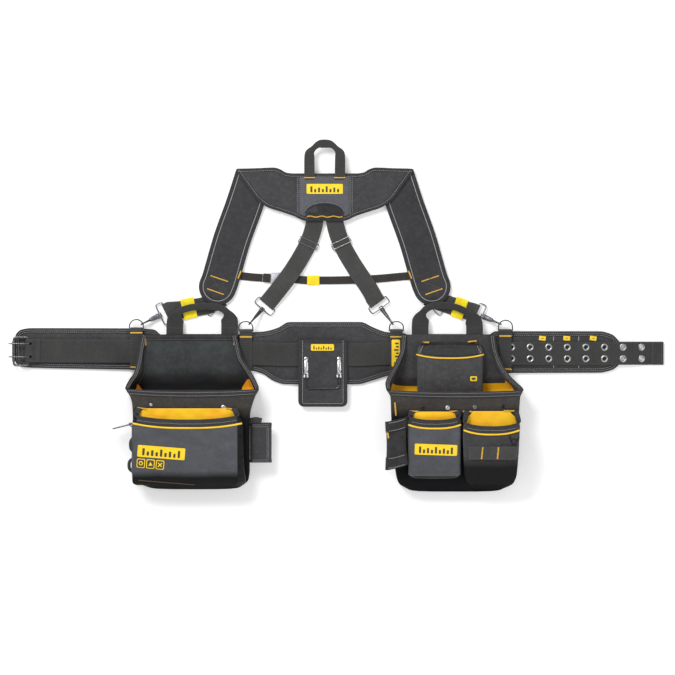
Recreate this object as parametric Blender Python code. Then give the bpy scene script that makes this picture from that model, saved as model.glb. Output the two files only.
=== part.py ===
"""Carpenter's tool belt laid out flat on its back, with two pouches, a hammer holder and suspenders.

Frame: X runs along the belt (+X towards the free end with the eyelets), Y runs up the wearer's body
towards the shoulder yoke, Z points away from the floor.  The origin is at the middle of the underside.
Lengths in this file are millimetres; MM turns them into Blender's metres.
"""
import bpy
import bmesh
from math import acos, cos, hypot, pi, radians, sin
from mathutils import Matrix, Vector

MM = 0.001
GAP = 0.3                       # room kept between two touching pieces

# heights above the floor
STRIP = 1.5                     # thickness of the webbing strips that go round the belt
PAD_LOW, PAD_TOP = 2.0, 9.4     # padded belt
WEB_LOW, WEB_TOP = 11.4, 13.8   # belt webbing
KEEPER_TOP = 15.8               # front face of the strips round the belt
BACK_LOW = 16.2                 # underside of a pouch's back panel
STRAP_LOW, STRAP_TOP = 1.6, 3.8           # front straps
CHEST_LOW, CHEST_TOP = 1.6, 3.4           # chest strap
SHOULDER_LOW, SHOULDER_TOP = 4.2, 11.0    # shoulder pads
YOKE_LOW, YOKE_TOP = 11.4, 18.6           # shoulder yoke

# the belt
BELT_WEB_WIDTH = 51.0           # two inch webbing
BACK_STRAP_WIDTH = 38.5         # inch and a half elastic
CHEST_WEB_WIDTH = 17.5
YOKE_X = -25.6                  # the suspenders are the same left and right of this line
TIP_X = 722.0                   # free end of the belt
EYELET_COLUMNS = [386.0 + 41.0 * column for column in range(8)]
EYELET_ROWS = (-71.3, -96.6)
EYELET_RADIUS = 4.0

# buckle
BAR_X, BAR_Z = -680.0, 17.6     # the buckle's hinge bar
BUCKLE_Y = -80.5
BUCKLE_HALF = 31.0
ROLLER_X = -711.0
FRAME_WIRE = 2.25
PRONG_WIRE = 1.8
PRONG_ROWS = (-63.6, -92.6)

# dee rings: their straight bars lie on one line, the line the suspenders fold about
RING_Y, RING_Z = -35.6, 15.2
RING_WIRE = 1.4
RING_HALF = 15.3
RING_SIDE = 10.0
RINGS = {                       # name: (middle X, tilt in degrees, top edge of its web loop)
    "left_front": (-440.6, 5.0, -27.6),
    "left_back": (-199.4, 35.0, -31.4),
    "right_back": (132.2, 35.0, -31.4),
    "right_front": (372.6, 22.0, -31.4),
}
KEEPER_HALF = 13.5

# snap hooks: the way each one points in plan, and where on its ring it hangs (degrees from +X)
HOOKS = {
    "left_front": ((-0.90, -0.44), 25.0, 42.0),
    "left_back": ((-0.65, -0.76), 50.0, 40.2),
    "right_back": ((0.58, -0.81), 130.0, 40.2),
    "right_front": ((0.86, -0.51), 150.0, 37.0),
}
EYE_Z = 5.3                     # height of the wire eyes in the strap ends
EYE_DEPTH = 16.5
EYE_WIRE = 1.5
CURL_RADIUS = 6.2
CURL_WIRE = 1.6
SEAT = 2.5                      # how far past the curl's middle the ring lies

CLOTH = (0.045, 0.045, 0.047)


# ---------------------------------------------------------------- tools

def clear_scene():
    for obj in list(bpy.data.objects):
        bpy.data.objects.remove(obj, do_unlink=True)


def material(name, colour, roughness, metallic=0.0):
    found = bpy.data.materials.get(name)
    if found:
        return found
    made = bpy.data.materials.new(name)
    made.use_nodes = True
    shader = made.node_tree.nodes["Principled BSDF"]
    shader.inputs["Base Color"].default_value = (*colour, 1.0)
    shader.inputs["Roughness"].default_value = roughness
    shader.inputs["Metallic"].default_value = metallic
    made.diffuse_color = (*colour, 1.0)
    return made


def black_cloth():
    return material("black_cloth", CLOTH, 0.85)


def webbing():
    return material("webbing", (0.042, 0.040, 0.038), 0.8)


def grey_shell():
    return material("grey_shell", (0.09, 0.10, 0.12), 0.6)


def yellow_cloth():
    return material("yellow_cloth", (0.95, 0.62, 0.01), 0.7)


def dark_steel():
    return material("dark_steel", (0.10, 0.10, 0.105), 0.35, 1.0)


def bright_steel():
    return material("bright_steel", (0.7, 0.7, 0.72), 0.3, 1.0)


def dark_plastic():
    return material("dark_plastic", (0.05, 0.05, 0.055), 0.5)


def grey_plastic():
    return material("grey_plastic", (0.5, 0.5, 0.54), 0.5)


def solid(name, verts, faces, look, origin=(0.0, 0.0, 0.0), smooth=0.0):
    """A named object from millimetre points, with its own origin and outward faces."""
    start = Vector(origin)
    mesh = bpy.data.meshes.new(name)
    mesh.from_pydata([(Vector(v) - start) * MM for v in verts], [], faces)
    work = bmesh.new()
    work.from_mesh(mesh)
    bmesh.ops.recalc_face_normals(work, faces=work.faces)
    work.to_mesh(mesh)
    work.free()
    if smooth:
        mesh.shade_smooth()
        mesh.set_sharp_from_angle(angle=radians(smooth))
    mesh.materials.append(look)
    obj = bpy.data.objects.new(name, mesh)
    bpy.context.scene.collection.objects.link(obj)
    obj.location = start * MM
    return obj


def loft_faces(count, size, closed=False):
    """Faces that join `count` rings of `size` points one after another, with flat ends."""
    faces = []
    for ring in range(count if closed else count - 1):
        after = (ring + 1) % count
        for i in range(size):
            j = (i + 1) % size
            faces.append((ring * size + i, ring * size + j, after * size + j, after * size + i))
    if not closed:
        faces.append(tuple(range(size)))
        faces.append(tuple(reversed(range((count - 1) * size, count * size))))
    return faces


def loft(name, rings, look, origin=(0.0, 0.0, 0.0), closed=False, smooth=0.0):
    verts = [point for ring in rings for point in ring]
    faces = loft_faces(len(rings), len(rings[0]), closed)
    return solid(name, verts, faces, look, origin, smooth)


def plate(name, outline, low, high, look, origin=(0.0, 0.0, 0.0)):
    """A flat piece: an outline in X and Y between two heights."""
    rings = [[(x, y, low) for x, y in outline], [(x, y, high) for x, y in outline]]
    return loft(name, rings, look, origin)


def slab(name, x, y, z, look):
    """A box between the two ends given for each axis."""
    return plate(name, [(x[0], y[0]), (x[1], y[0]), (x[1], y[1]), (x[0], y[1])], z[0], z[1], look)


def cutter(obj):
    obj.hide_render = True
    obj.display_type = "WIRE"
    return obj


def combine(obj, other, operation="DIFFERENCE"):
    change = obj.modifiers.new(operation.lower(), "BOOLEAN")
    change.operation = operation
    change.solver = "EXACT"
    change.object = cutter(other)
    return obj


def rod(name, start, end, radius, sides=16, look=None):
    """A straight round bar, most often a cutter for a bore."""
    axis = (Vector(end) - Vector(start)).normalized()
    across = axis.orthogonal().normalized()
    third = axis.cross(across)
    rings = []
    for place in (Vector(start), Vector(end)):
        ring = [place + (across * cos(2 * pi * i / sides) + third * sin(2 * pi * i / sides)) * radius
                for i in range(sides)]
        rings.append(ring)
    return loft(name, rings, look or black_cloth())


def round_section(radius, sides=8):
    return [(radius * cos(2 * pi * (i + 0.5) / sides), radius * sin(2 * pi * (i + 0.5) / sides))
            for i in range(sides)]


def flat_section(width, thickness):
    w, t = width / 2, thickness / 2
    return [(-w, -t), (w, -t), (w, t), (-w, t)]


def oval_section(width, thickness, sides=8):
    return [(width / 2 * cos(2 * pi * (i + 0.5) / sides), thickness / 2 * sin(2 * pi * (i + 0.5) / sides))
            for i in range(sides)]


def sweep(name, path, sections, side, look, closed=False, origin=(0.0, 0.0, 0.0), smooth=0.0):
    """Carry a section along a path.  `side` is the section's first direction: one vector, or one a point."""
    path = [Vector(p) for p in path]
    count = len(path)
    if not isinstance(sections[0], list):
        sections = [sections] * count
    sides = side if isinstance(side, list) else [side] * count
    rings = []
    for i, point in enumerate(path):
        before = path[i - 1] if (i or closed) else path[i]
        after = path[(i + 1) % count] if (i < count - 1 or closed) else path[i]
        inward = (point - before).normalized() if point != before else Vector()
        outward = (after - point).normalized() if after != point else Vector()
        along = (inward + outward).normalized()
        across = Vector(sides[i])
        across = (across - along * across.dot(along)).normalized()
        normal = across.cross(along).normalized()
        rings.append([point + across * u + normal * v for u, v in sections[i]])
    return loft(name, rings, look, origin, closed, smooth)


def arc(middle, radius, start, end, steps):
    """Points on an arc in a plane, angles in degrees."""
    return [(middle[0] + radius * cos(radians(start + (end - start) * i / steps)),
             middle[1] + radius * sin(radians(start + (end - start) * i / steps))) for i in range(steps + 1)]


def rounded_box(half_x, half_y, radius, steps=3):
    """Outline of a rectangle with round corners about the origin, anticlockwise."""
    points = []
    for turn, (sx, sy) in enumerate(((1, 1), (-1, 1), (-1, -1), (1, -1))):
        middle = (sx * (half_x - radius), sy * (half_y - radius))
        points += arc(middle, radius, 90 * turn, 90 * turn + 90, steps)
    return points


def through(knots, samples):
    """Heights of a smooth curve through (x, y) knots at the sample x values, with no overshoot."""
    xs = [k[0] for k in knots]
    ys = [k[1] for k in knots]
    slopes = [(ys[i + 1] - ys[i]) / (xs[i + 1] - xs[i]) for i in range(len(xs) - 1)]
    tangents = [slopes[0]]
    for i in range(1, len(slopes)):
        same_way = slopes[i - 1] * slopes[i] > 0
        tangents.append(2 * slopes[i - 1] * slopes[i] / (slopes[i - 1] + slopes[i]) if same_way else 0.0)
    tangents.append(slopes[-1])
    result = []
    for x in samples:
        i = max(0, min(len(slopes) - 1, sum(1 for knot in xs[1:-1] if x >= knot)))
        span = xs[i + 1] - xs[i]
        t = (x - xs[i]) / span
        result.append((2 * t ** 3 - 3 * t ** 2 + 1) * ys[i] + (t ** 3 - 2 * t ** 2 + t) * span * tangents[i]
                      + (3 * t ** 2 - 2 * t ** 3) * ys[i + 1] + (t ** 3 - t ** 2) * span * tangents[i + 1])
    return result


def smooth_path(points, pieces=4):
    """A Catmull-Rom curve through 3-D points."""
    points = [Vector(p) for p in points]
    ends = [points[0] * 2 - points[1]] + points + [points[-1] * 2 - points[-2]]
    result = []
    for i in range(1, len(ends) - 2):
        a, b, c, d = ends[i - 1:i + 3]
        for step in range(pieces):
            t = step / pieces
            result.append(0.5 * ((2 * b) + (c - a) * t + (2 * a - 5 * b + 4 * c - d) * t ** 2
                                 + (3 * b - a - 3 * c + d) * t ** 3))
    return result + [points[-1]]


def mirrored(points):
    """The same points on the other side of the suspenders' middle line."""
    return [(2 * YOKE_X - p[0], *p[1:]) for p in points]


# ---------------------------------------------------------------- belt

def belt_edges():
    """Upper and lower edge of the padded belt as knots, dipping behind the pouches' tunnels."""
    upper = [(-708, -51), (-704, -41), (-694, -34), (-672, -31), (-456, -31.5), (-402, -34), (-388, -45),
             (-214, -45), (-196, -41), (-160, -38.5), (-128, -30), (-104, -17.5), (54, -17.5), (80, -29),
             (112, -40), (146, -42), (156, -45), (338, -45), (350, -38), (580, -38), (608, -45), (626, -64)]
    lower = [(-708, -98), (-704, -107), (-694, -113), (-672, -115), (-449, -119), (-190, -121.5),
             (-163, -128), (-138, -144), (-112, -151.5), (46, -151.5), (76, -144), (112, -133), (150, -127),
             (580, -126), (608, -120), (626, -106)]
    return upper, lower


def padded_belt():
    upper, lower = belt_edges()
    stops = sorted({x for x, _ in upper} | {x for x, _ in lower} | {-681, -144, -116, -90, 64, 94, 596, 618})
    top = list(zip(stops, through(upper, stops)))
    bottom = list(zip(stops, through(lower, stops)))
    plate("padded_belt", bottom + top[::-1], PAD_LOW, PAD_TOP, black_cloth())


def web_centre(x):
    return through([(-700, -79.2), (-475, -80), (-190, -85), (-110, -87.5), (46, -87.5), (118, -85),
                    (722, -84.8)], [x])[0]


def belt_webbing():
    """The two inch webbing: folded round the buckle's bar, eyelets and a doubled tip at the free end."""
    low, high = WEB_LOW, WEB_TOP
    wrap = [(BAR_X + dx, BAR_Z + dz) for dx, dz in arc((0, 0), 4.95, -70, -270, 8)]
    side = [(-640, low, -1), (-668, low, -1)] + [(x, z, 0) for x, z in wrap]
    side += [(-668, 19.0, 0), (-660, 16.9, 0), (-653.7, 16.6, 0), (-653.7, high, 1), (-640, high, 1)]
    half = BELT_WEB_WIDTH / 2
    end = [[(x, web_centre(x) + s * half, z) for x, z, _ in side] for s in (-1, 1)]
    belt = loft("belt_webbing", end, webbing())
    stops = [-641, -475, -300, -190, -110, 46, 118, 330, 560, 600, 630, 665, 700]
    height = through([(-641, 12.6), (590, 12.6), (640, 9.6), (690, 3.4), (722, 2.9)], stops)
    path = [(x, web_centre(x), z) for x, z in zip(stops, height)]
    run = sweep("webbing_run", path, flat_section(BELT_WEB_WIDTH, high - low), (0, 1, 0), webbing())
    combine(belt, run, "UNION")
    tip = slab("webbing_tip", (694, TIP_X), (-84.8 - 24.5, -84.8 + 24.5), (0.4, 5.4), webbing())
    combine(belt, tip, "UNION")
    combine(belt, rod("bar_bore", (BAR_X, -200, BAR_Z), (BAR_X, 0, BAR_Z), FRAME_WIRE + GAP))
    for row in PRONG_ROWS:
        slot = slab("prong_slot", (BAR_X - 12, BAR_X + 7.2), (row - 2.4, row + 2.4), (5, 40), webbing())
        combine(belt, slot)
    for column in EYELET_COLUMNS:
        for row in EYELET_ROWS:
            combine(belt, rod("eyelet", (column, row, -5), (column, row, 30), EYELET_RADIUS, 10))


def buckle():
    depth = (BAR_X - ROLLER_X) / 2
    middle = (BAR_X + ROLLER_X) / 2
    loop = [(middle + x, BUCKLE_Y + y, BAR_Z) for x, y in rounded_box(depth, BUCKLE_HALF, 3.6)]
    sweep("buckle_frame", loop, round_section(FRAME_WIRE), (0, 0, 1), dark_steel(), closed=True,
          origin=(BAR_X, BUCKLE_Y, BAR_Z), smooth=50)
    roller()
    for name, row in zip(("buckle_prong_upper", "buckle_prong_lower"), PRONG_ROWS):
        turn = FRAME_WIRE + GAP + PRONG_WIRE
        rise = BAR_Z + 3.6 + GAP + PRONG_WIRE
        path = [(BAR_X + dx, row, BAR_Z + dz) for dx, dz in arc((0, 0), turn, -200, 80, 11)]
        path += [(BAR_X - 4, row, BAR_Z + 5.2), (BAR_X - 12, row, rise + 0.4), (ROLLER_X, row, rise),
                 (ROLLER_X - 11, row, rise - 0.8)]
        sweep(name, path, round_section(PRONG_WIRE), (0, 1, 0), dark_steel(), origin=(BAR_X, row, BAR_Z),
              smooth=50)


def roller():
    """A thin tube that turns on the buckle's outer bar."""
    half = BUCKLE_HALF - 8.5
    profile = [(FRAME_WIRE + GAP, -half), (3.6, -half), (3.6, half), (FRAME_WIRE + GAP, half)]
    rings = []
    for step in range(16):
        angle = 2 * pi * step / 16
        rings.append([(ROLLER_X + r * cos(angle), BUCKLE_Y + y, BAR_Z + r * sin(angle)) for r, y in profile])
    loft("buckle_roller", rings, dark_steel(), (ROLLER_X, BUCKLE_Y, BAR_Z), closed=True, smooth=50)


# ---------------------------------------------------------------- dee rings and their web loops

def extrude_x(name, profile, x, look, origin=(0.0, 0.0, 0.0)):
    """A profile in Y and Z drawn out along X."""
    return loft(name, [[(x[0], y, z) for y, z in profile], [(x[1], y, z) for y, z in profile]], look, origin)


def ring_keeper(place):
    """A strip of web round the belt, with a sewn pocket for the ring's bar at its upper edge."""
    middle, _, top = RINGS[place]
    span = (middle - KEEPER_HALF, middle + KEEPER_HALF)
    stops = [middle - KEEPER_HALF, middle, middle + KEEPER_HALF]
    low_edge = min(through(belt_edges()[1], stops)) - 0.8
    high_edge = max(through(belt_edges()[0], stops)) + 0.8
    riser = max(top, high_edge + STRIP)
    pocket = arc((RING_Y, RING_Z), 3.7, 160, 15, 6)
    outer = [(low_edge - STRIP, 0.0), (low_edge - STRIP, KEEPER_TOP), (RING_Y - 6, KEEPER_TOP)] + pocket
    outer += [(riser, 12.0), (riser, 0.0)]
    keeper = extrude_x("ring_keeper_" + place, outer, span, webbing())
    inner = [(low_edge, STRIP), (low_edge, WEB_TOP + GAP), (RING_Y - 8, WEB_TOP + GAP),
             (RING_Y - 6, PAD_TOP + GAP), (riser - STRIP, PAD_TOP + GAP), (riser - STRIP, STRIP)]
    wide = (span[0] - 5, span[1] + 5)
    combine(keeper, extrude_x("belt_room", inner, wide, webbing()))
    ends = [(x, RING_Y, RING_Z) for x in wide]
    combine(keeper, rod("bar_room", ends[0], ends[1], RING_WIRE + GAP, 10))


def ring_point(place, a, b):
    """A point of a ring's plane: a along the bar from its middle, b away from the bar."""
    middle, tilt, _ = RINGS[place]
    return Vector((middle + a, RING_Y + b * cos(radians(tilt)), RING_Z + b * sin(radians(tilt))))


def dee_ring(place):
    outline = [(-RING_HALF + 1.5, 0), (RING_HALF - 1.5, 0), (RING_HALF, 1.8)]
    outline += arc((0, RING_SIDE), RING_HALF, 0, 180, 12) + [(-RING_HALF, 1.8)]
    path = [ring_point(place, a, b) for a, b in outline]
    tilt = radians(RINGS[place][1])
    sweep("dee_ring_" + place, path, round_section(RING_WIRE), (0, -sin(tilt), cos(tilt)), dark_steel(),
          closed=True, origin=(RINGS[place][0], RING_Y, RING_Z), smooth=50)


# ---------------------------------------------------------------- snap hooks

def hook_frame(place):
    """Where a hook lies: its seat on the ring, the eye's two bars, and the hook's own axes."""
    plan, angle, reach = HOOKS[place]
    a = RING_HALF * cos(radians(angle))
    b = RING_SIDE + RING_HALF * sin(radians(angle))
    seat = ring_point(place, a, b)
    way = Vector((*plan, 0)).normalized()
    eye = Vector((seat.x, seat.y, 0)) - way * reach
    eye.z = EYE_Z
    fold = eye - way * EYE_DEPTH
    along = (seat - eye).normalized()
    across = Vector((-way.y, way.x, 0))
    up = along.cross(across)
    if up.z < 0:
        up = -up
    return {"seat": seat, "eye": eye, "fold": fold, "along": along, "across": across, "up": up, "way": way}


def hook_point(lay, x, z, y=0.0):
    return lay["eye"] + lay["along"] * x + lay["up"] * z + lay["across"] * y


def snap_hook(place):
    """Flat shank that thins into a round curl, open on its upper side where the gate closes it."""
    lay = hook_frame(place)
    middle = (lay["seat"] - lay["eye"]).length - SEAT
    shank = [(-3.6, 0.0, 9.5, 6.6), (0.0, 0.0, 10.0, 7.4), (4.5, 0.0, 10.0, 6.6), (9.0, 0.0, 7.0, 5.0),
             (middle - 14, -0.4, 6.0, 4.6), (middle - 9, -1.8, 4.6, 3.8)]
    path = [hook_point(lay, x, z) for x, z, _, _ in shank]
    sections = [oval_section(w, t) for _, _, w, t in shank]
    for x, z in arc((middle, 0), CURL_RADIUS, 222, 478, 10):
        path.append(hook_point(lay, x, z))
        sections.append(oval_section(2 * CURL_WIRE, 2 * CURL_WIRE))
    hook = sweep("snap_hook_" + place, path, sections, lay["across"], dark_steel(), smooth=50)
    combine(hook, rod("eye_bore", hook_point(lay, 0, 0, -12), hook_point(lay, 0, 0, 12), EYE_WIRE + 0.4, 12))


def hook_gate(place):
    """The sprung gate, a flat lever from the shank to the curl's tip."""
    lay = hook_frame(place)
    middle = (lay["seat"] - lay["eye"]).length - SEAT
    pivot = (middle - 14.5, 3.9)
    tip = (middle - 4.6, CURL_RADIUS - 0.6)
    path = [hook_point(lay, *pivot), hook_point(lay, (pivot[0] + tip[0]) / 2, 5.1), hook_point(lay, *tip)]
    sections = [oval_section(4.4, 1.8), oval_section(4.0, 1.8), oval_section(3.0, 1.6)]
    sweep("hook_gate_" + place, path, sections, lay["across"], dark_steel(), origin=tuple(path[0]), smooth=50)


def strap_eye(place):
    """The wire rectangle that joins a strap's fold to its hook."""
    lay = hook_frame(place)
    half = 24.6 if place.endswith("front") else 23.8
    middle = (lay["eye"] + lay["fold"]) / 2
    outline = rounded_box(EYE_DEPTH / 2, half, 3.6, 2)
    points = [middle + lay["way"] * x + lay["across"] * y for x, y in outline]
    sweep("strap_eye_" + place, points, round_section(EYE_WIRE), (0, 0, 1), bright_steel(), closed=True,
          smooth=50)


# ---------------------------------------------------------------- straps

def strap(name, points, width, thickness, fold_at, way, look):
    """Flat strap along a smooth path that ends in a fold round a wire eye."""
    fold, ahead_of_fold = Vector(fold_at), Vector(way)
    path = list(smooth_path(points, 3))
    path += [fold + ahead_of_fold * reach for reach in (-9.0, -5.0, 0.0, 3.4)]
    sides = []
    for i, point in enumerate(path):
        ahead = path[min(i + 1, len(path) - 1)] - path[max(i - 1, 0)]
        sides.append(Vector((-ahead.y, ahead.x, 0)).normalized())
    across = Vector((-way[1], way[0], 0))
    if across.dot(sides[-5]) < 0:
        across = -across
    sides[-4:] = [across] * 4
    thick = [thickness] * (len(path) - 3) + [6.0, 7.2, 4.4]
    sections = [flat_section(width, t) for t in thick]
    piece = sweep(name, path, sections, sides, look)
    reach = across * (width + 10)
    combine(piece, rod("fold_bore", fold - reach, fold + reach, EYE_WIRE + GAP + 0.1, 10))
    return piece


def back_strap(side):
    place = side + "_back"
    lay = hook_frame(place)
    inner = [(-47, 212, 8.8), (-51, 190, 6.4), (-62, 158, 6.25), (-79, 126, 7.6), (-99, 94, 11.0),
             (-119, 67, 11.6), (-131.5, 51, 10.4)]
    if side == "right":
        inner = mirrored([(x, y, min(z, 8.8)) for x, y, z in inner])
    strap("back_strap_" + side, inner, BACK_STRAP_WIDTH, 2.3, lay["fold"], lay["way"], webbing())


def back_adjuster(side):
    """Rectangular slider round a back strap, a flat tube along the strap's own direction."""
    middle = Vector((-61.5, 158, 6.25))
    way = Vector((-0.42, -0.905, 0)).normalized()
    if side == "right":
        middle.x = 2 * YOKE_X - middle.x
        way.x = -way.x
    across = Vector((-way.y, way.x, 0))
    outer = rounded_box(22.5, 3.4, 2.0, 2)
    inner = rounded_box(20.6, 2.1, 0.8, 2)
    rings = []
    for outline, reach in ((outer, -7.5), (outer, 7.5), (inner, 7.5), (inner, -7.5)):
        rings.append([middle + way * reach + across * u + Vector((0, 0, v)) for u, v in outline])
    loft("back_adjuster_" + side, rings, dark_steel(), tuple(middle), closed=True)


def front_strap(side):
    place = side + "_front"
    lay = hook_frame(place)
    if side == "left":
        points = [(-262, 32, 2.7), (-280, 22.6, 2.7), (-300, 17.9, 2.7), (-325, 13.9, 2.7), (-348, 10.3, 2.7)]
    else:
        points = [(212, 32, 2.7), (228, 24.2, 2.7), (246, 20.4, 2.7), (268, 17.2, 2.7), (290, 14.1, 2.7)]
    strap("front_strap_" + side, points, 40.0, STRAP_TOP - STRAP_LOW, lay["fold"], lay["way"], webbing())


def keeper_tube(name, middle, way, width, length, low, high, look):
    """A band of stretch web wrapped round a strap."""
    way = Vector(way).normalized()
    across = Vector((-way.y, way.x, 0))
    centre = Vector((middle[0], middle[1], (low + high) / 2))
    outer = rounded_box(width / 2 + GAP + 1.2, (high - low) / 2 + GAP + 1.1, 1.0, 2)
    inner = rounded_box(width / 2 + GAP, (high - low) / 2 + GAP, 0.3, 2)
    rings = []
    half = length / 2
    for outline, reach in ((outer, -half), (outer, half), (inner, half), (inner, -half)):
        rings.append([centre + way * reach + across * u + Vector((0, 0, v)) for u, v in outline])
    loft(name, rings, look, tuple(centre), closed=True)


def front_keepers():
    """Yellow stretch bands on the two front straps: place, way along the strap, length."""
    bands = {"left": ((-324, 14.05, 0), (-0.987, -0.158, 0), 30),
             "right": ((267, 17.35, 0), (0.99, -0.144, 0), 28)}
    for side, (middle, way, length) in bands.items():
        keeper_tube("front_keeper_" + side, middle, way, 43.0, length, STRAP_LOW, STRAP_TOP, yellow_cloth())


# ---------------------------------------------------------------- yoke, pads and chest strap

def yoke():
    half_top = [(-191, 321), (-150, 321.5), (-112, 323), (-98, 319), (-86, 312), (-70, 310)]
    half_low = [(-187, 316), (-180, 299), (-166, 279), (-147, 254), (-124, 238), (-97, 229), (-70, 220),
                (-40, 208.5)]
    left = [(YOKE_X + x, y) for x, y in half_top]
    low = [(YOKE_X + x, y) for x, y in half_low]
    outline = left + mirrored(left)[::-1] + mirrored(low) + low[::-1]
    plate("shoulder_yoke", outline, YOKE_LOW, YOKE_TOP, black_cloth())


def hang_loop():
    outer = [(-71.2, 305.5), (-71.2, 349), (-62.4, 364.8), (-40.4, 383.5), (-11.8, 385.4), (10.2, 366),
             (18.6, 350), (18.6, 305.5)]
    inner = [(-3.9, 305.5), (-3.9, 357), (-11.8, 366.5), (-40.4, 366.5), (-47.4, 357), (-47.4, 305.5)]
    plate("hang_loop", outer + inner, YOKE_TOP + GAP, YOKE_TOP + GAP + 2.2, webbing(),
          (YOKE_X, 306.0, YOKE_TOP + 1.4))


def shoulder_pad(side):
    knots = [(-179, 317, 0), (-203, 242, 0), (-230.5, 165, 0), (-254.5, 82, 0), (-262, 62, 0)]
    centre = smooth_path(knots, 3)
    half = 39.5
    left, right = [], []
    for i, point in enumerate(centre):
        ahead = (centre[min(i + 1, len(centre) - 1)] - centre[max(i - 1, 0)]).normalized()
        normal = Vector((-ahead.y, ahead.x, 0))
        left.append((point.x - normal.x * half, point.y - normal.y * half))
        right.append((point.x + normal.x * half, point.y + normal.y * half))
    way = (centre[-1] - centre[-2]).normalized()
    heading = acos(max(-1, min(1, way.x))) * (-1 if way.y < 0 else 1) * 180 / pi
    tip = arc((centre[-1].x, centre[-1].y), half, heading - 90, heading + 90, 10)
    start_left = (-213, 317)
    start_right = (-146, 300)
    outline = [start_left] + left[1:-1] + tip + right[1:-1][::-1] + [start_right]
    if side == "right":
        outline = mirrored(outline)
    plate("shoulder_pad_" + side, outline, SHOULDER_LOW, SHOULDER_TOP, black_cloth())


def chest_strap():
    socket_x = (-143.7, -115.2)
    middle = 80.5
    height = (CHEST_LOW + CHEST_TOP) / 2
    side = (0, 1, 0)
    web = flat_section(CHEST_WEB_WIDTH, CHEST_TOP - CHEST_LOW)
    left = [(-232, 88, height), (-212, 86, height), (-178, 82.5, height), (-144.8, 81, height)]
    sweep("chest_strap_left", left, web, side, webbing())
    socket = slab("chest_buckle_socket", socket_x, (middle - 13, middle + 13), (0.4, 9.0), grey_plastic())
    room_x = (socket_x[0] + 5, socket_x[1] + 5)
    combine(socket, slab("socket_room", room_x, (middle - 10, middle + 10), (2.2, 7.2), grey_plastic()))
    plug = slab("chest_buckle_plug", (-114.8, -92), (middle - 12, middle + 12), (0.6, 8.8), grey_plastic())
    combine(plug, slab("plug_tongue", (socket_x[0] + 7, -112), (middle - 9.4, middle + 9.4), (2.8, 6.6),
                       grey_plastic()), "UNION")
    right = [(-90.8, 78.5, height), (-62, 76.3, height), (4, 76.3, height), (80, 79, height), (172, 87, height)]
    sweep("chest_strap_right", right, web, side, webbing())
    keeper_tube("chest_keeper", (-51, 76.3, 0), (1, 0, 0), CHEST_WEB_WIDTH + 1.5, 27, CHEST_LOW, CHEST_TOP,
                yellow_cloth())


# ---------------------------------------------------------------- pouches

def box_ring(y, x0, x1, z0, z1, radius, steps=2):
    radius = min(radius, (z1 - z0) / 2 - 0.05, (x1 - x0) / 2 - 0.05)
    outline = rounded_box((x1 - x0) / 2, (z1 - z0) / 2, radius, steps)
    return [((x0 + x1) / 2 + u, y, (z0 + z1) / 2 + v) for u, v in outline]


def vessel(name, stations, rim, wall, look, back=None, radius=9.0, origin=(0.0, 0.0, 0.0)):
    """An open bag.  Stations run from the back panel's top edge to the bottom; station `rim` is the front
    edge of the mouth, and above it only the back panel and the sloping gussets stand."""
    back = back or wall
    outer = [box_ring(*station, radius) for station in stations]
    bag = loft(name, outer, look, origin)
    room = []
    for i, (y, x0, x1, z0, z1) in enumerate(stations):
        inset = (x0 + wall, x1 - wall, z0 + back)
        if i == 0:
            room.append(box_ring(y + 12, *inset, z1 + 14, 1.0))
        if i < rim:
            room.append(box_ring(y, *inset, z1 + 14, 1.0))
        elif i == rim:
            room.append(box_ring(y + 0.4, *inset, z1 + 14, 1.0))
            room.append(box_ring(y - 0.4, *inset, z1 - wall, 1.0))
        elif i < len(stations) - 1:
            room.append(box_ring(y, *inset, z1 - wall, 1.0))
    (y, x0, x1, z0, z1), (prior_y, prior_x0, prior_x1, prior_z0, prior_z1) = stations[-1], stations[-2]
    room.append(box_ring((y * 3 + prior_y) / 4, max(x0, prior_x0) + 2 * wall, min(x1, prior_x1) - 2 * wall,
                         max(z0, prior_z0) + 2 * back, min(z1, prior_z1) - 2 * wall, 1.0))
    combine(bag, loft(name + "_room", room, look))
    return bag


def tunnel(bag, x, upper, lower):
    """The sleeve on a pouch's back that the belt runs through."""
    low, high = 0.0, BACK_LOW + 1.0
    ring = [(lower - STRIP, low), (lower - STRIP, high), (lower, high), (lower, low + STRIP),
            (upper, low + STRIP), (upper, high), (upper + STRIP, high), (upper + STRIP, low)]
    combine(bag, extrude_x(bag.name + "_tunnel", ring, x, black_cloth()), "UNION")


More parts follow.
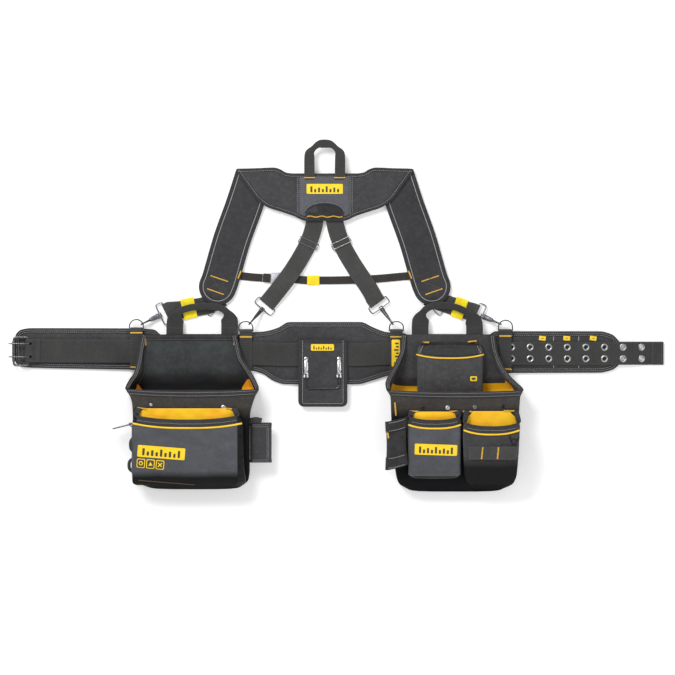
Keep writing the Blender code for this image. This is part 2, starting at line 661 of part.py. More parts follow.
def left_pouch():
    stations = [(-43.5, -427.6, -221.4, BACK_LOW, 19.6), (-66.4, -431, -215.5, BACK_LOW, 31),
                (-92, -434.6, -209.5, BACK_LOW, 43), (-127, -442.5, -187, BACK_LOW, 60),
                (-145, -454, -177, 9, 68), (-163.2, -461, -170.5, 2, 75), (-183, -453, -178, 0.6, 76),
                (-220, -446.5, -190, 0.4, 74), (-276, -446, -191, 0.4, 70), (-342, -446, -191, 0.8, 58),
                (-364, -440, -194, 3, 48), (-374, -425, -204, 8, 40)]
    bag = vessel("left_pouch", stations, 5, 2.4, black_cloth())
    tunnel(bag, (-376, -232), -43.7, -123.4)
    front = [(-204, -436, -219, 75.6, 79), (-217, -441, -212, 74.7, 89), (-230.5, -445, -206, 74.2, 98),
             (-242, -446, -204, 73.4, 99), (-297, -447, -203, 69.2, 96), (-342, -448, -201, 58.8, 86),
             (-366, -441, -198, 48.6, 70), (-379, -412, -212, 42, 54)]
    vessel("left_front_pocket", front, 2, 2.0, grey_shell(), back=1.6, radius=7.0)
    grip = [(-356.4, -41.4, 17.9), (-356, -26, 16.4), (-354, -10, 14.6), (-343, 7, 13.6), (-322, 17, 13.6),
            (-292, 19, 14.0), (-262, 12, 14.4), (-243, -2, 14.6), (-236, -16, 15.4), (-235.2, -28, 16.6),
            (-235.2, -41.4, 17.9)]
    handle("left_handle", grip)
    sleeve("left_tool_loop", (-188.8, -143.3), (-324.7, -237), (26, 44), 2.2)
    side_ring()


def handle(name, points):
    """Web handle, flat and wide at its feet and rolled narrow over its middle."""
    path = smooth_path(points, 2)
    count = len(path)
    sides, sections = [], []
    for i, point in enumerate(path):
        ahead = path[min(i + 1, count - 1)] - path[max(i - 1, 0)]
        sides.append(Vector((-ahead.y, ahead.x, 0)).normalized())
        share = min(i, count - 1 - i) / (count - 1)
        width = 37.0 if share < 0.16 else (16.0 if share > 0.3 else 37.0 - 21.0 * (share - 0.16) / 0.14)
        sections.append(flat_section(width, 2.4 if width > 30 else 3.0))
    sweep(name, path, sections, sides, webbing(), origin=(points[0][0], -41.4, 17.9))


def sleeve(name, x, y, z, wall, radius=6.0):
    """A flattened tube open at both ends, running along Y."""
    rings = []
    for place, inset in ((y[0], 0), (y[1], 0), (y[1], wall), (y[0], wall)):
        x_range, z_range = (x[0] + inset, x[1] - inset), (z[0] + inset, z[1] - inset)
        rings.append(box_ring(place, *x_range, *z_range, radius - inset, 3))
    loft(name, rings, webbing(), closed=True)


def side_ring():
    """A steel ring held on edge at the left pouch's side; its bar stands upright."""
    outline = arc((-17, 0), 13.0, 90, 270, 8)
    outline += arc((-1.5, -10), 3.0, 270, 360, 2) + arc((-1.5, 10), 3.0, 0, 90, 2)
    bar = Vector((-451.4, -240.5, 44))
    way = Vector((0.97, 0.245, 0)).normalized()
    path = [bar + way * (u * 1.35) + Vector((0, 0, v)) for u, v in outline]
    sweep("left_side_ring", path, round_section(1.4), Vector((-way.y, way.x, 0)), dark_steel(), closed=True,
          origin=tuple(bar + way * 2.0), smooth=50)


def right_pouch():
    stations = [(-43.5, 145, 347.5, BACK_LOW, 19.6), (-77, 142, 352, BACK_LOW, 36),
                (-104, 131, 361, BACK_LOW, 49), (-136, 114, 381, BACK_LOW, 63.5), (-150, 108.5, 395, 9, 70),
                (-166, 111, 409, 2, 76), (-184, 118, 407, 0.6, 77), (-230, 121, 404, 0.4, 74),
                (-300, 125, 403, 0.4, 68), (-354, 130, 399, 0.8, 60), (-372, 136, 392, 3, 50),
                (-385, 156, 368, 8, 36)]
    bag = vessel("right_pouch", stations, 5, 2.4, black_cloth())
    tunnel(bag, (172, 316), -43.7, -128.4)
    inner = [(-60, 184, 316, 18.9, 21.6), (-72, 180, 320, 18.9, 31), (-86, 178, 322, 18.9, 40),
             (-110, 178, 322, 18.9, 41), (-170, 178, 322, 18.9, 36), (-192, 186, 316, 18.9, 26)]
    vessel("right_inner_pocket", inner, 2, 1.8, grey_shell(), back=1.4, radius=5.0)
    grey = [(-212, 161, 268, 76.0, 79), (-222, 157, 271, 75.2, 88), (-232, 156, 273, 74.6, 96),
            (-245, 156, 273, 73.6, 97), (-300, 157, 272, 68.6, 92), (-345, 158, 271, 62, 82),
            (-355, 164, 266, 60.8, 74)]
    vessel("right_grey_pocket", grey, 2, 2.0, grey_shell(), back=1.4, radius=7.0)
    wide = [(-211, 281, 397, 76.1, 79), (-230, 277, 401, 74.9, 94), (-249, 276.5, 402, 73.4, 105),
            (-262, 276.5, 402, 72.2, 105), (-305, 278, 401, 68.4, 98), (-345, 280, 399, 62.4, 84),
            (-355, 288, 392, 61, 74)]
    vessel("right_wide_pocket", wide, 2, 2.0, black_cloth(), back=1.4, radius=7.0)
    grip = [(184.5, -41.4, 17.9), (184.5, -28, 16.6), (186, -14, 15.4), (193, -1, 14.6), (211, 11, 14.4),
            (240, 15.5, 14.0), (268, 14, 13.6), (290, 5, 13.6), (302, -10, 14.6), (304.4, -26, 16.4),
            (304.4, -41.4, 17.9)]
    handle("right_handle", grip)
    sleeve("right_side_holder", (108, 154.6), (-334, -229), (75.2, 94), 2.2)
    band()
    accessory_ring()


def band():
    """Stretch band sewn across the wide pocket in loops for driver bits."""
    shares = [step / 12 for step in range(13)]
    rows = ((-287, 101.5), (-305, 98.6), (-317, 94.4))
    low = [[(288 + 106 * share, y, z) for share in shares] for y, z in rows]
    top = [[(x, y, z + 1.6 + 2.6 * abs(sin(3 * pi * share))) for (x, y, z), share in zip(row, shares)]
           for row in low]
    rings = [under + over[::-1] for under, over in zip(low, top)]
    loft("right_bit_band", rings, webbing())


def accessory_ring():
    """Small wire triangle hung from a tab on the wide pocket."""
    outline = [(-8, 0), (8, 0), (10, -3), (2.6, -19), (0, -20.4), (-2.6, -19), (-10, -3)]
    top = Vector((388, -266, 108.6))
    down = Vector((0, -1, -0.13)).normalized()
    path = [top + Vector((1, 0, 0)) * u - down * v for u, v in outline]
    face = Vector((0, down.z, -down.y))
    sweep("right_accessory_ring", path, round_section(1.2), face, dark_steel(), closed=True, origin=tuple(top),
          smooth=50)


# ---------------------------------------------------------------- hammer holder

def hammer_holder():
    """Stiff panel with its own sleeve on the belt webbing, two riveted plates and a swinging wire loop."""
    x0, x1 = -82.8, 23.2
    low, high = WEB_TOP + 0.4, WEB_TOP + 4.4
    outline = [(x1, -55.7), (x0, -55.7)]
    outline += arc((x0 + 11, -190.5), 11, 180, 270, 4) + arc((x1 - 11, -190.5), 11, 270, 360, 4)
    panel = plate("hammer_panel", outline, low, high, black_cloth())
    profile = [(-115.4, PAD_TOP + GAP), (-115.4, low + 1), (-113.8, low + 1), (-113.8, WEB_LOW - GAP),
               (-61.2, WEB_LOW - GAP), (-61.2, low + 1), (-59.6, low + 1), (-59.6, PAD_TOP + GAP)]
    combine(panel, extrude_x("hammer_sleeve", profile, (x0 + 8, x1 - 8), black_cloth()), "UNION")
    pivot_y = -135.6
    legs = (-66.8, 6.0)
    for name, leg in zip(("hammer_plate_left", "hammer_plate_right"), legs):
        strip = slab(name, (leg - 5, leg + 5), (-134, -94.6), (high + GAP, high + 2.0), bright_steel())
        curl = slab(name + "_curl", (leg - 5, leg + 5), (-139.4, -131.6), (high + GAP, high + 7.0), bright_steel())
        combine(strip, curl, "UNION")
        ends = [(leg + reach, pivot_y, high + 3.7) for reach in (-9, 9)]
        combine(strip, rod(name + "_bore", ends[0], ends[1], 2.3, 12))
    z = high + 3.7
    wire = [(legs[0] + 3.4, pivot_y, z), (legs[0] - 6.6, pivot_y, z), (legs[0] - 8.4, pivot_y - 2.6, z),
            (legs[0] - 8.4, pivot_y - 18, z)]
    wire += [(legs[0] - 3.4, pivot_y - 24.4, z), (legs[0] + 2, pivot_y - 26, z)]
    other = [(legs[1] + legs[0] - x, y, h) for x, y, h in wire[::-1]]
    middle = (-30.4, pivot_y, z)
    sweep("hammer_wire_loop", wire + other, round_section(1.9), (0, 0, 1), dark_steel(), origin=middle, smooth=50)


# ---------------------------------------------------------------- the whole belt

def main():
    clear_scene()
    padded_belt()
    belt_webbing()
    buckle()
    for place in RINGS:
        ring_keeper(place)
        dee_ring(place)
        snap_hook(place)
        hook_gate(place)
        strap_eye(place)
    hammer_holder()
    left_pouch()
    right_pouch()
    yoke()
    hang_loop()
    for side in ("left", "right"):
        shoulder_pad(side)
        back_strap(side)
        back_adjuster(side)
        front_strap(side)
    front_keepers()
    chest_strap()


main()
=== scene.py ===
"""Looks of the carpenter's tool belt: fabric, webbing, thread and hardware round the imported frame.

Lengths are millimetres in the frame's own axes (X along the belt, Y up the wearer's body, Z off the
floor); MM turns them into metres when a mesh is made.
"""
from math import cos, pi, radians, sin

import bmesh
import bpy
import numpy as np
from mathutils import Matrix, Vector


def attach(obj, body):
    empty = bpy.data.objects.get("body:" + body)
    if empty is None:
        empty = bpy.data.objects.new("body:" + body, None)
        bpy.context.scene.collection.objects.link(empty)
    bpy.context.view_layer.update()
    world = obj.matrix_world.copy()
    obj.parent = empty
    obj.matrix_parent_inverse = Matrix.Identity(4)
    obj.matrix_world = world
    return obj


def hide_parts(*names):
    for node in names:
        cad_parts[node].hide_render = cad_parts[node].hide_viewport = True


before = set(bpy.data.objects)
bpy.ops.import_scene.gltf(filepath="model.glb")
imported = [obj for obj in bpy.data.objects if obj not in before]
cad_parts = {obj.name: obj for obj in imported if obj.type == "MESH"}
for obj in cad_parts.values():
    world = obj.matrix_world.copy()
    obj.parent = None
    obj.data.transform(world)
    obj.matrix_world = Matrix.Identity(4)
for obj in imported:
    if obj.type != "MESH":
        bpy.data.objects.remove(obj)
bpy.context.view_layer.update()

MM = 0.001
TURN = 2 * pi
UP = (0.0, 0.0, 1.0)
AXES = np.eye(3)
RNG = np.random.default_rng(7)

YOKE_X = -25.6                  # the suspenders are the same left and right of this line
PLACES = ("left_front", "left_back", "right_back", "right_front")
SIDES = ("left", "right")


# ---------------------------------------------------------------- arrays of points

def unit(vectors):
    vectors = np.asarray(vectors, float)
    return vectors / np.maximum(np.linalg.norm(vectors, axis=-1, keepdims=True), 1e-9)


def ease(t):
    t = np.clip(t, 0, 1)
    return t * t * (3 - 2 * t)


def arc(middle, radius, start, end, steps):
    """Points on an arc in a plane, angles in degrees."""
    turn = np.radians(np.linspace(start, end, steps + 1))
    return [(middle[0] + radius * cos(a), middle[1] + radius * sin(a)) for a in turn]


def rounded_box(half_x, half_y, radius, steps=4):
    """Outline of a rectangle with round corners about the origin, anticlockwise."""
    points = []
    for turn, (sx, sy) in enumerate(((1, 1), (-1, 1), (-1, -1), (1, -1))):
        middle = (sx * (half_x - radius), sy * (half_y - radius))
        points += arc(middle, radius, 90 * turn, 90 * turn + 90, steps)
    return points


def through(knots, samples):
    """Values of a smooth curve through (x, y, ...) knots at the sample x values, with no overshoot."""
    knots = np.asarray(knots, float)
    xs, ys = knots[:, 0], knots[:, 1:]
    span = np.diff(xs)[:, None]
    slope = np.diff(ys, axis=0) / span
    tangent = np.vstack([slope[:1], np.zeros((len(xs) - 2, ys.shape[1])), slope[-1:]])
    before, after = slope[:-1], slope[1:]
    same = before * after > 0
    tangent[1:-1][same] = 2 * before[same] * after[same] / (before[same] + after[same])
    x = np.atleast_1d(np.asarray(samples, float))
    i = np.clip(np.searchsorted(xs, x, side="right") - 1, 0, len(xs) - 2)
    t = ((x - xs[i]) / span[i, 0])[:, None]
    result = ((2 * t ** 3 - 3 * t ** 2 + 1) * ys[i] + (t ** 3 - 2 * t ** 2 + t) * span[i] * tangent[i]
              + (3 * t ** 2 - 2 * t ** 3) * ys[i + 1] + (t ** 3 - t ** 2) * span[i] * tangent[i + 1])
    return result[:, 0] if result.shape[1] == 1 else result


def smooth_path(points, pieces=8, closed=False):
    """A Catmull-Rom curve through the points."""
    p = np.asarray(points, float)
    if closed:
        ends = np.vstack([p[-1:], p, p[:2]])
    else:
        ends = np.vstack([2 * p[:1] - p[1:2], p, 2 * p[-1:] - p[-2:-1]])
    result = []
    for i in range(1, len(ends) - 2):
        a, b, c, d = ends[i - 1:i + 3]
        for t in np.arange(pieces) / pieces:
            result.append(0.5 * (2 * b + (c - a) * t + (2 * a - 5 * b + 4 * c - d) * t ** 2
                                 + (3 * b - a - 3 * c + d) * t ** 3))
    return np.array(result if closed else result + [p[-1]])


def columns(*parts):
    """Points from columns of coordinates; a number stands for a whole column."""
    count = max(np.size(part, 0) for part in parts if np.ndim(part))
    return np.column_stack([part if np.ndim(part) else np.full(count, part) for part in parts])


def lengths(path):
    """Distance along a path at each of its points."""
    return np.concatenate([[0], np.cumsum(np.linalg.norm(np.diff(path, axis=0), axis=1))])


def at_places(path, along, places):
    """Points of a path at given distances, from the distance along it at each of its own points."""
    return np.column_stack([np.interp(places, along, path[:, k]) for k in range(path.shape[1])])


def respaced(path, step, closed=False):
    """The same path with points about `step` apart."""
    path = np.asarray(path, float)
    if closed:
        path = np.vstack([path, path[:1]])
    along = lengths(path)
    count = max(2, int(round(along[-1] / step)))
    places = np.linspace(0, along[-1], count + 1)
    made = at_places(path, along, places)
    return made[:-1] if closed else made


def tangents(path, closed=False):
    path = np.asarray(path, float)
    if closed:
        return unit(np.roll(path, -1, 0) - np.roll(path, 1, 0))
    step = np.diff(path, axis=0)
    step = unit(step)
    return unit(np.vstack([step[:1], step[1:] + step[:-1], step[-1:]]))


def left_of(way):
    """The level direction a quarter turn to the left of a level one."""
    return np.array((-way[1], way[0], 0.0))


def beside(path):
    """Level directions to the left of a path that is mostly level."""
    t = tangents(path)
    return unit(columns(-t[:, 1], t[:, 0], 0.0))


def upward(height):
    return np.array((0.0, 0.0, height))


def mirrored(points):
    """The same points on the other side of the suspenders' middle line."""
    made = np.array(points, float)
    made[..., 0] = 2 * YOKE_X - made[..., 0]
    return made


def at_side(points, side):
    """Points given for the left side, on the side asked for."""
    return mirrored(points) if side == "right" else np.array(points, float)


def distance_to(points, line, closed=False):
    """Distance in plan from each point to a line of segments."""
    a = np.asarray(line, float)[:, :2]
    b = np.roll(a, -1, 0)
    if not closed:
        a, b = a[:-1], b[:-1]
    p = np.asarray(points, float)[:, :2]
    best = np.full(len(p), 1e9)
    for start, end in zip(a, b):
        way = end - start
        t = np.clip(((p - start) @ way) / max(way @ way, 1e-9), 0, 1)
        best = np.minimum(best, np.linalg.norm(p - start - t[:, None] * way, axis=1))
    return best


class Ripple:
    """A smooth random height over the plan: a few long waves in fixed random directions."""

    def __init__(self, seed, size, waves=7):
        rng = np.random.default_rng(seed)
        turn = rng.uniform(0, TURN, waves)
        rate = TURN / (size * rng.uniform(0.6, 1.8, waves))
        self.k = np.column_stack([np.cos(turn), np.sin(turn)]) * rate[:, None]
        self.shift = rng.uniform(0, TURN, waves)
        self.share = 1 / waves ** 0.5

    def __call__(self, x, y):
        x, y = np.broadcast_arrays(np.asarray(x, float), np.asarray(y, float))
        total = np.zeros(x.shape)
        for (kx, ky), shift in zip(self.k, self.shift):
            total += np.sin(kx * x + ky * y + shift + 0.8 * np.sin(ky * x - kx * y))
        return total * self.share


# ---------------------------------------------------------------- shapes: points, faces, cloth coordinates

def shape(points, faces, uv=None):
    points = np.asarray(points, float).reshape(-1, 3)
    uv = np.zeros((len(points), 2)) if uv is None else np.asarray(uv, float).reshape(-1, 2)
    return points, faces, uv


def merged(shapes):
    points, faces, uv, start = [], [], [], 0
    for p, f, t in shapes:
        points.append(p)
        uv.append(t)
        faces += [tuple(i + start for i in face) for face in f]
        start += len(p)
    return np.vstack(points), faces, np.vstack(uv)


def net(count, size, wrap=False, loop=False):
    """Quads of `count` rows of `size` points; wrap joins a row's ends, loop joins last row to first."""
    faces = []
    for r in range(count if loop else count - 1):
        below, above = r * size, ((r + 1) % count) * size
        for c in range(size if wrap else size - 1):
            d = (c + 1) % size
            faces.append((below + c, below + d, above + d, above + c))
    return faces


def tube(rings, closed=False, uv=None):
    """Rings of points joined one after another into a closed skin."""
    rings = np.asarray(rings, float)
    count, size = rings.shape[:2]
    faces = net(count, size, wrap=True, loop=closed)
    if not closed:
        faces.append(tuple(range(size)))
        faces.append(tuple(reversed(range((count - 1) * size, count * size))))
    return shape(rings, faces, uv)


def sweep(path, section, side, closed=False):
    """Carry a section (across, up) along a path.  `side` is the direction of across: one, or one a point."""
    path = np.asarray(path, float)
    count = len(path)
    section = np.asarray(section, float)
    if section.ndim == 2:
        section = np.broadcast_to(section, (count, *section.shape))
    along = tangents(path, closed)
    across = np.broadcast_to(np.asarray(side, float), (count, 3))
    across = unit(across - along * np.sum(across * along, axis=1, keepdims=True))
    up = np.cross(along, across)
    rings = path[:, None] + across[:, None] * section[..., :1] + up[:, None] * section[..., 1:]
    run = lengths(path)
    uv = np.stack(np.broadcast_arrays(run[:, None], section[..., 0]), axis=-1)
    return tube(rings, closed, uv)


def web_section(width, thick, across=8):
    """Flat band with rounded selvedges."""
    h, w = thick / 2, width / 2
    flat = np.linspace(w - h, -(w - h), across + 1)
    top = [(u, h) for u in flat]
    left = arc((-(w - h), 0), h, 90, 270, 4)[1:-1]
    low = [(u, -h) for u in flat[::-1]]
    right = arc((w - h, 0), h, -90, 90, 4)[1:-1]
    return np.array(top + left + low + right)


def round_section(radius, sides=14):
    turn = TURN * np.arange(sides) / sides
    return np.column_stack([np.cos(turn), np.sin(turn)]) * radius


def oval_section(width, thick, sides=18):
    return round_section(1, sides) * (width / 2, thick / 2)


def web(path, width, thick=2.0, step=5.0):
    """A strap of webbing along a mostly level path."""
    path = respaced(path, step)
    return sweep(path, web_section(width, thick), beside(path))


def wire(path, radius, side=UP, closed=False, sides=14):
    """Round rod along a path."""
    return sweep(path, round_section(radius, sides), side, closed)


def axes_about(axis):
    """Three directions square to each other, the last along the axis."""
    axis = unit(axis)
    first = unit(np.cross(axis, (0.0, 1.0, 0.0) if abs(axis[1]) < 0.9 else (1.0, 0.0, 0.0)))
    return first, np.cross(axis, first), axis


def turned(profile, centre, axis=UP, sides=32):
    """A closed profile of (radius, height) turned about an axis through the centre."""
    first, second, axis = axes_about(axis)
    rings = []
    for turn in TURN * np.arange(sides) / sides:
        out = first * cos(turn) + second * sin(turn)
        rings.append([np.asarray(centre) + out * r + axis * h for r, h in profile])
    return tube(rings, closed=True)


def domed(profile, centre, axis=UP, sides=24):
    """A solid of revolution: profile of (radius, height) from the foot's rim to near the top's middle."""
    first, second, axis = axes_about(axis)
    rings = []
    for r, h in profile:
        rings.append([np.asarray(centre) + axis * h + (first * cos(a) + second * sin(a)) * r
                      for a in TURN * np.arange(sides) / sides])
    return tube(rings)


def slab_outline(outline, low, high, bevel=0.5):
    """A flat piece with softened edges: an outline in plan between two heights."""
    outline = np.asarray(outline, float)
    inner = inset(outline, bevel)
    rings = []
    for line, z in ((inner, low), (outline, low + bevel), (outline, high - bevel), (inner, high)):
        rings.append(columns(line, z))
    return tube(rings)


def area_of(outline):
    """Signed area in plan, above zero for an anticlockwise outline."""
    x, y = np.asarray(outline)[:, 0], np.asarray(outline)[:, 1]
    return 0.5 * np.sum(x * np.roll(y, -1) - np.roll(x, -1) * y)


def inward_of(outline):
    """Unit directions into a closed outline, one a point."""
    t = tangents(np.asarray(outline)[:, :2], closed=True)
    way = 1 if area_of(outline) > 0 else -1
    return np.column_stack([-t[:, 1], t[:, 0]]) * way


def inset(outline, distance):
    """The outline moved inwards by a distance."""
    return np.asarray(outline, float)[:, :2] + inward_of(outline) * distance


def box_shape(middle, half, ways, radius=0.6):
    """A box with rounded long edges: half sizes along three given directions."""
    ways = unit(ways)
    outline = rounded_box(half[0], half[1], min(radius, half[0], half[1]), 3)
    rings = []
    for reach, shrink in ((-1, radius), (-1 + radius / half[2], 0), (1 - radius / half[2], 0), (1, radius)):
        sx = max(0.05, 1 - shrink / half[0])
        sy = max(0.05, 1 - shrink / half[1])
        rings.append([np.asarray(middle) + ways[0] * u * sx + ways[1] * v * sy + ways[2] * half[2] * reach
                      for u, v in outline])
    return tube(rings)


# ---------------------------------------------------------------- pieces

def outward(mesh):
    """Turn every face of a mesh to face out."""
    work = bmesh.new()
    work.from_mesh(mesh)
    bmesh.ops.recalc_face_normals(work, faces=work.faces)
    work.to_mesh(mesh)
    work.free()


def make(name, made, look, body, instead=(), sharp=50.0):
    """A piece from one shape or several; it rides on its body and may stand for CAD nodes."""
    points, faces, uv = merged(made) if isinstance(made, list) else made
    mesh = bpy.data.meshes.new(name)
    mesh.from_pydata((points * MM).tolist(), [], faces)
    layer = mesh.uv_layers.new(name="strap")
    corner = np.empty(len(mesh.loops), np.int32)
    mesh.loops.foreach_get("vertex_index", corner)
    layer.data.foreach_set("uv", uv[corner].astype(np.float32).ravel())
    outward(mesh)
    mesh.shade_smooth()
    if sharp:
        mesh.set_sharp_from_angle(angle=radians(sharp))
    mesh.materials.append(LOOK[look])
    obj = bpy.data.objects.new(name, mesh)
    bpy.context.scene.collection.objects.link(obj)
    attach(obj, body)
    if instead:
        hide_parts(*instead)
    return obj


def cut(obj, cutters):
    """Take the cutters' room out of a piece."""
    points, faces, _ = merged(cutters)
    mesh = bpy.data.meshes.new("cutter")
    mesh.from_pydata((points * MM).tolist(), [], faces)
    outward(mesh)
    tool = bpy.data.objects.new("cutter", mesh)
    bpy.context.scene.collection.objects.link(tool)
    change = obj.modifiers.new("holes", "BOOLEAN")
    change.operation = "DIFFERENCE"
    change.solver = "EXACT"
    change.object = tool
    shown = obj.evaluated_get(bpy.context.evaluated_depsgraph_get())
    carved = bpy.data.meshes.new_from_object(shown)
    obj.modifiers.clear()
    obj.data = carved
    bpy.data.objects.remove(tool, do_unlink=True)


# ---------------------------------------------------------------- thread

SEWN = {}                       # (body, thread): lists of stitch middles, ways, ups, half lengths, radii


def sew(body, thread, path, length=3.3, gap=1.1, radius=0.5, up=UP, skip=0.0):
    """A row of running stitches laid along a path on a surface."""
    path = np.asarray(path, float)
    along = lengths(path)
    pitch = length + gap
    count = int(along[-1] / pitch)
    if count < 1:
        return
    places = (np.arange(count) + 0.5) * along[-1] / count
    middle = at_places(path, along, places)
    ahead = at_places(path, along, places + pitch / 2)
    behind = at_places(path, along, places - pitch / 2)
    ups = at_places(np.broadcast_to(np.asarray(up, float), (len(path), 3)), along, places)
    keep = RNG.random(count) >= skip
    wobble = RNG.normal(0, 0.12, (count, 3)) * (1, 1, 0.3)
    SEWN.setdefault((body, thread), []).append(
        (middle[keep] + wobble[keep], unit(ahead - behind)[keep], ups[keep],
         np.full(keep.sum(), length / 2), np.full(keep.sum(), radius)))


def bartack(body, thread, start, end, width=3.6, up=UP, wave=0.0):
    """A dense bar of thread across from start to end."""
    start, end = np.asarray(start, float), np.asarray(end, float)
    way = unit(end - start)
    across = unit(np.cross(up, way))
    count = max(4, int(np.linalg.norm(end - start) / 0.85))
    t = (np.arange(count) + 0.5) / count
    middle = start + (end - start) * t[:, None]
    middle = middle + across * (wave * np.sin(t * TURN * 3))[:, None]
    lean = unit(across + way * 0.07 * np.where(np.arange(count) % 2, 1, -1)[:, None])
    half = width / 2 * (1 + 0.08 * RNG.normal(size=count))
    SEWN.setdefault((body, thread), []).append(
        (middle, lean, np.broadcast_to(np.asarray(up, float), (count, 3)), half, np.full(count, 0.62)))


STITCH_SIDES = 5
STITCH_RINGS = ((-1.0, 0.35, -0.45), (-0.72, 1.0, 0.0), (0.72, 1.0, 0.0), (1.0, 0.35, -0.45))


def thread_shape(groups):
    """Every stitch of one thread as short round-ended rods that dive into the cloth at both ends."""
    middle, way, up, half, radius = (np.concatenate([g[k] for g in groups]) for k in range(5))
    side = unit(np.cross(up, way))
    rise = np.cross(way, side)
    turn = TURN * np.arange(STITCH_SIDES) / STITCH_SIDES
    rings = []
    for reach, swell, sink in STITCH_RINGS:
        centre = middle + way * (half * reach)[:, None] + rise * (radius * sink)[:, None]
        size = (radius * swell)[:, None]
        ring = [centre + side * size * cos(a) + rise * size * sin(a) for a in turn]
        rings.append(np.stack(ring, axis=1))
    points = np.stack(rings, axis=1)
    size = STITCH_SIDES * len(STITCH_RINGS)
    base = tube(points[0])[1]
    faces = [tuple(i + k * size for i in face) for k in range(len(middle)) for face in base]
    return shape(points, faces)


def finish_sewing():
    """One piece for each thread on each body."""
    for (body, thread), groups in SEWN.items():
        make(f"{body}_{thread}", thread_shape(groups), thread, body, sharp=0)


# ---------------------------------------------------------------- materials

class Maker:
    """Short forms for building one material's nodes."""

    def __init__(self, name, roughness=0.8, metallic=0.0):
        self.material = bpy.data.materials.new(name)
        self.material.use_nodes = True
        self.tree = self.material.node_tree
        self.shader = self.tree.nodes["Principled BSDF"]
        self.shader.inputs["Roughness"].default_value = roughness
        self.shader.inputs["Metallic"].default_value = metallic
        self.place = self.tree.nodes.new("ShaderNodeTexCoord")

    def link(self, source, target):
        self.tree.links.new(source, target)

    def feed(self, socket, value):
        if isinstance(value, bpy.types.NodeSocket):
            self.link(value, socket)
        else:
            socket.default_value = value

    def math(self, operation, a, b=0.0, clamp=False):
        node = self.tree.nodes.new("ShaderNodeMath")
        node.operation = operation
        node.use_clamp = clamp
        self.feed(node.inputs[0], a)
        self.feed(node.inputs[1], b)
        return node.outputs[0]

    def noise(self, size, detail=2.0, rough=0.5, stretch=None):
        """Soft noise with features about `size` millimetres across, from 0 to 1."""
        node = self.tree.nodes.new("ShaderNodeTexNoise")
        node.inputs["Scale"].default_value = 1.0
        node.inputs["Detail"].default_value = detail
        node.inputs["Roughness"].default_value = rough
        shrink = self.tree.nodes.new("ShaderNodeVectorMath")
        shrink.operation = "MULTIPLY"
        self.link(self.place.outputs["Object"], shrink.inputs[0])
        rate = 1 / (size * MM)
        shrink.inputs[1].default_value = [rate * s for s in (stretch or (1, 1, 1))]
        self.link(shrink.outputs[0], node.inputs["Vector"])
        return node.outputs["Fac"]

    def spread(self, value, low, high, start=0.0, end=1.0):
        node = self.tree.nodes.new("ShaderNodeMapRange")
        node.inputs["From Min"].default_value = low
        node.inputs["From Max"].default_value = high
        node.inputs["To Min"].default_value = start
        node.inputs["To Max"].default_value = end
        self.feed(node.inputs["Value"], value)
        return node.outputs["Result"]

    def mix(self, share, a, b, blend="MIX"):
        node = self.tree.nodes.new("ShaderNodeMix")
        node.data_type = "RGBA"
        node.blend_type = blend
        self.feed(node.inputs[0], share)
        for socket, value in ((node.inputs[6], a), (node.inputs[7], b)):
            self.feed(socket, (*value, 1.0) if isinstance(value, tuple) and len(value) == 3 else value)
        return node.outputs[2]

    def split(self, vector):
        node = self.tree.nodes.new("ShaderNodeSeparateXYZ")
        self.link(vector, node.inputs[0])
        return node.outputs

    def scaled(self, vector, rate):
        node = self.tree.nodes.new("ShaderNodeVectorMath")
        node.operation = "SCALE"
        self.link(vector, node.inputs[0])
        node.inputs["Scale"].default_value = rate
        return node.outputs[0]

    def weave(self, pitch):
        """Height of a plain weave of that pitch in millimetres, laid on whichever way the surface faces."""
        wave = [self.math("SINE", s) for s in self.split(self.scaled(self.place.outputs["Object"],
                                                                     TURN / (2 * pitch * MM)))]
        facing = [self.math("MULTIPLY", s, s) for s in self.split(self.place.outputs["Normal"])]
        total = None
        for a, b, n in ((0, 1, 2), (1, 2, 0), (0, 2, 1)):
            part = self.math("MULTIPLY", self.math("MULTIPLY", wave[a], wave[b]), facing[n])
            total = part if total is None else self.math("ADD", total, part)
        return total

    def strap(self):
        """Millimetres along and across a strap, from its own coordinates."""
        node = self.tree.nodes.new("ShaderNodeUVMap")
        node.uv_map = "strap"
        return self.split(node.outputs[0])

    def ribs(self, along, across=0.0, slant=0.0):
        """Height of tape ribs: pitch along the strap, pitch across it, and a slant."""
        u, v = self.strap()[:2]
        if slant:
            u = self.math("ADD", u, self.math("MULTIPLY", self.math("ABSOLUTE", v), slant))
        rib = self.math("SINE", self.math("MULTIPLY", u, TURN / along))
        if across:
            cross = self.math("SINE", self.math("MULTIPLY", v, TURN / across))
            rib = self.math("MULTIPLY", rib, self.spread(cross, -1, 1, 0.25, 1.0))
        return rib

    def bump(self, heights):
        """Stack bumps: (height, depth in millimetres, strength)."""
        last = None
        for height, depth, strength in heights:
            node = self.tree.nodes.new("ShaderNodeBump")
            node.inputs["Distance"].default_value = depth * MM
            node.inputs["Strength"].default_value = strength
            self.link(height, node.inputs["Height"])
            if last is not None:
                self.link(last, node.inputs["Normal"])
            last = node.outputs[0]
        self.link(last, self.shader.inputs["Normal"])

    def worn(self, low=0.51, high=0.56):
        """1 on sharp outer edges, where the finish rubs away."""
        node = self.tree.nodes.new("ShaderNodeNewGeometry")
        edge = self.spread(node.outputs["Pointiness"], low, high)
        return self.math("MULTIPLY", edge, self.spread(self.noise(3.0), 0.35, 0.6), clamp=True)


def times(colour, share):
    """A colour made lighter or darker."""
    return tuple(min(1.0, c * share) for c in colour)


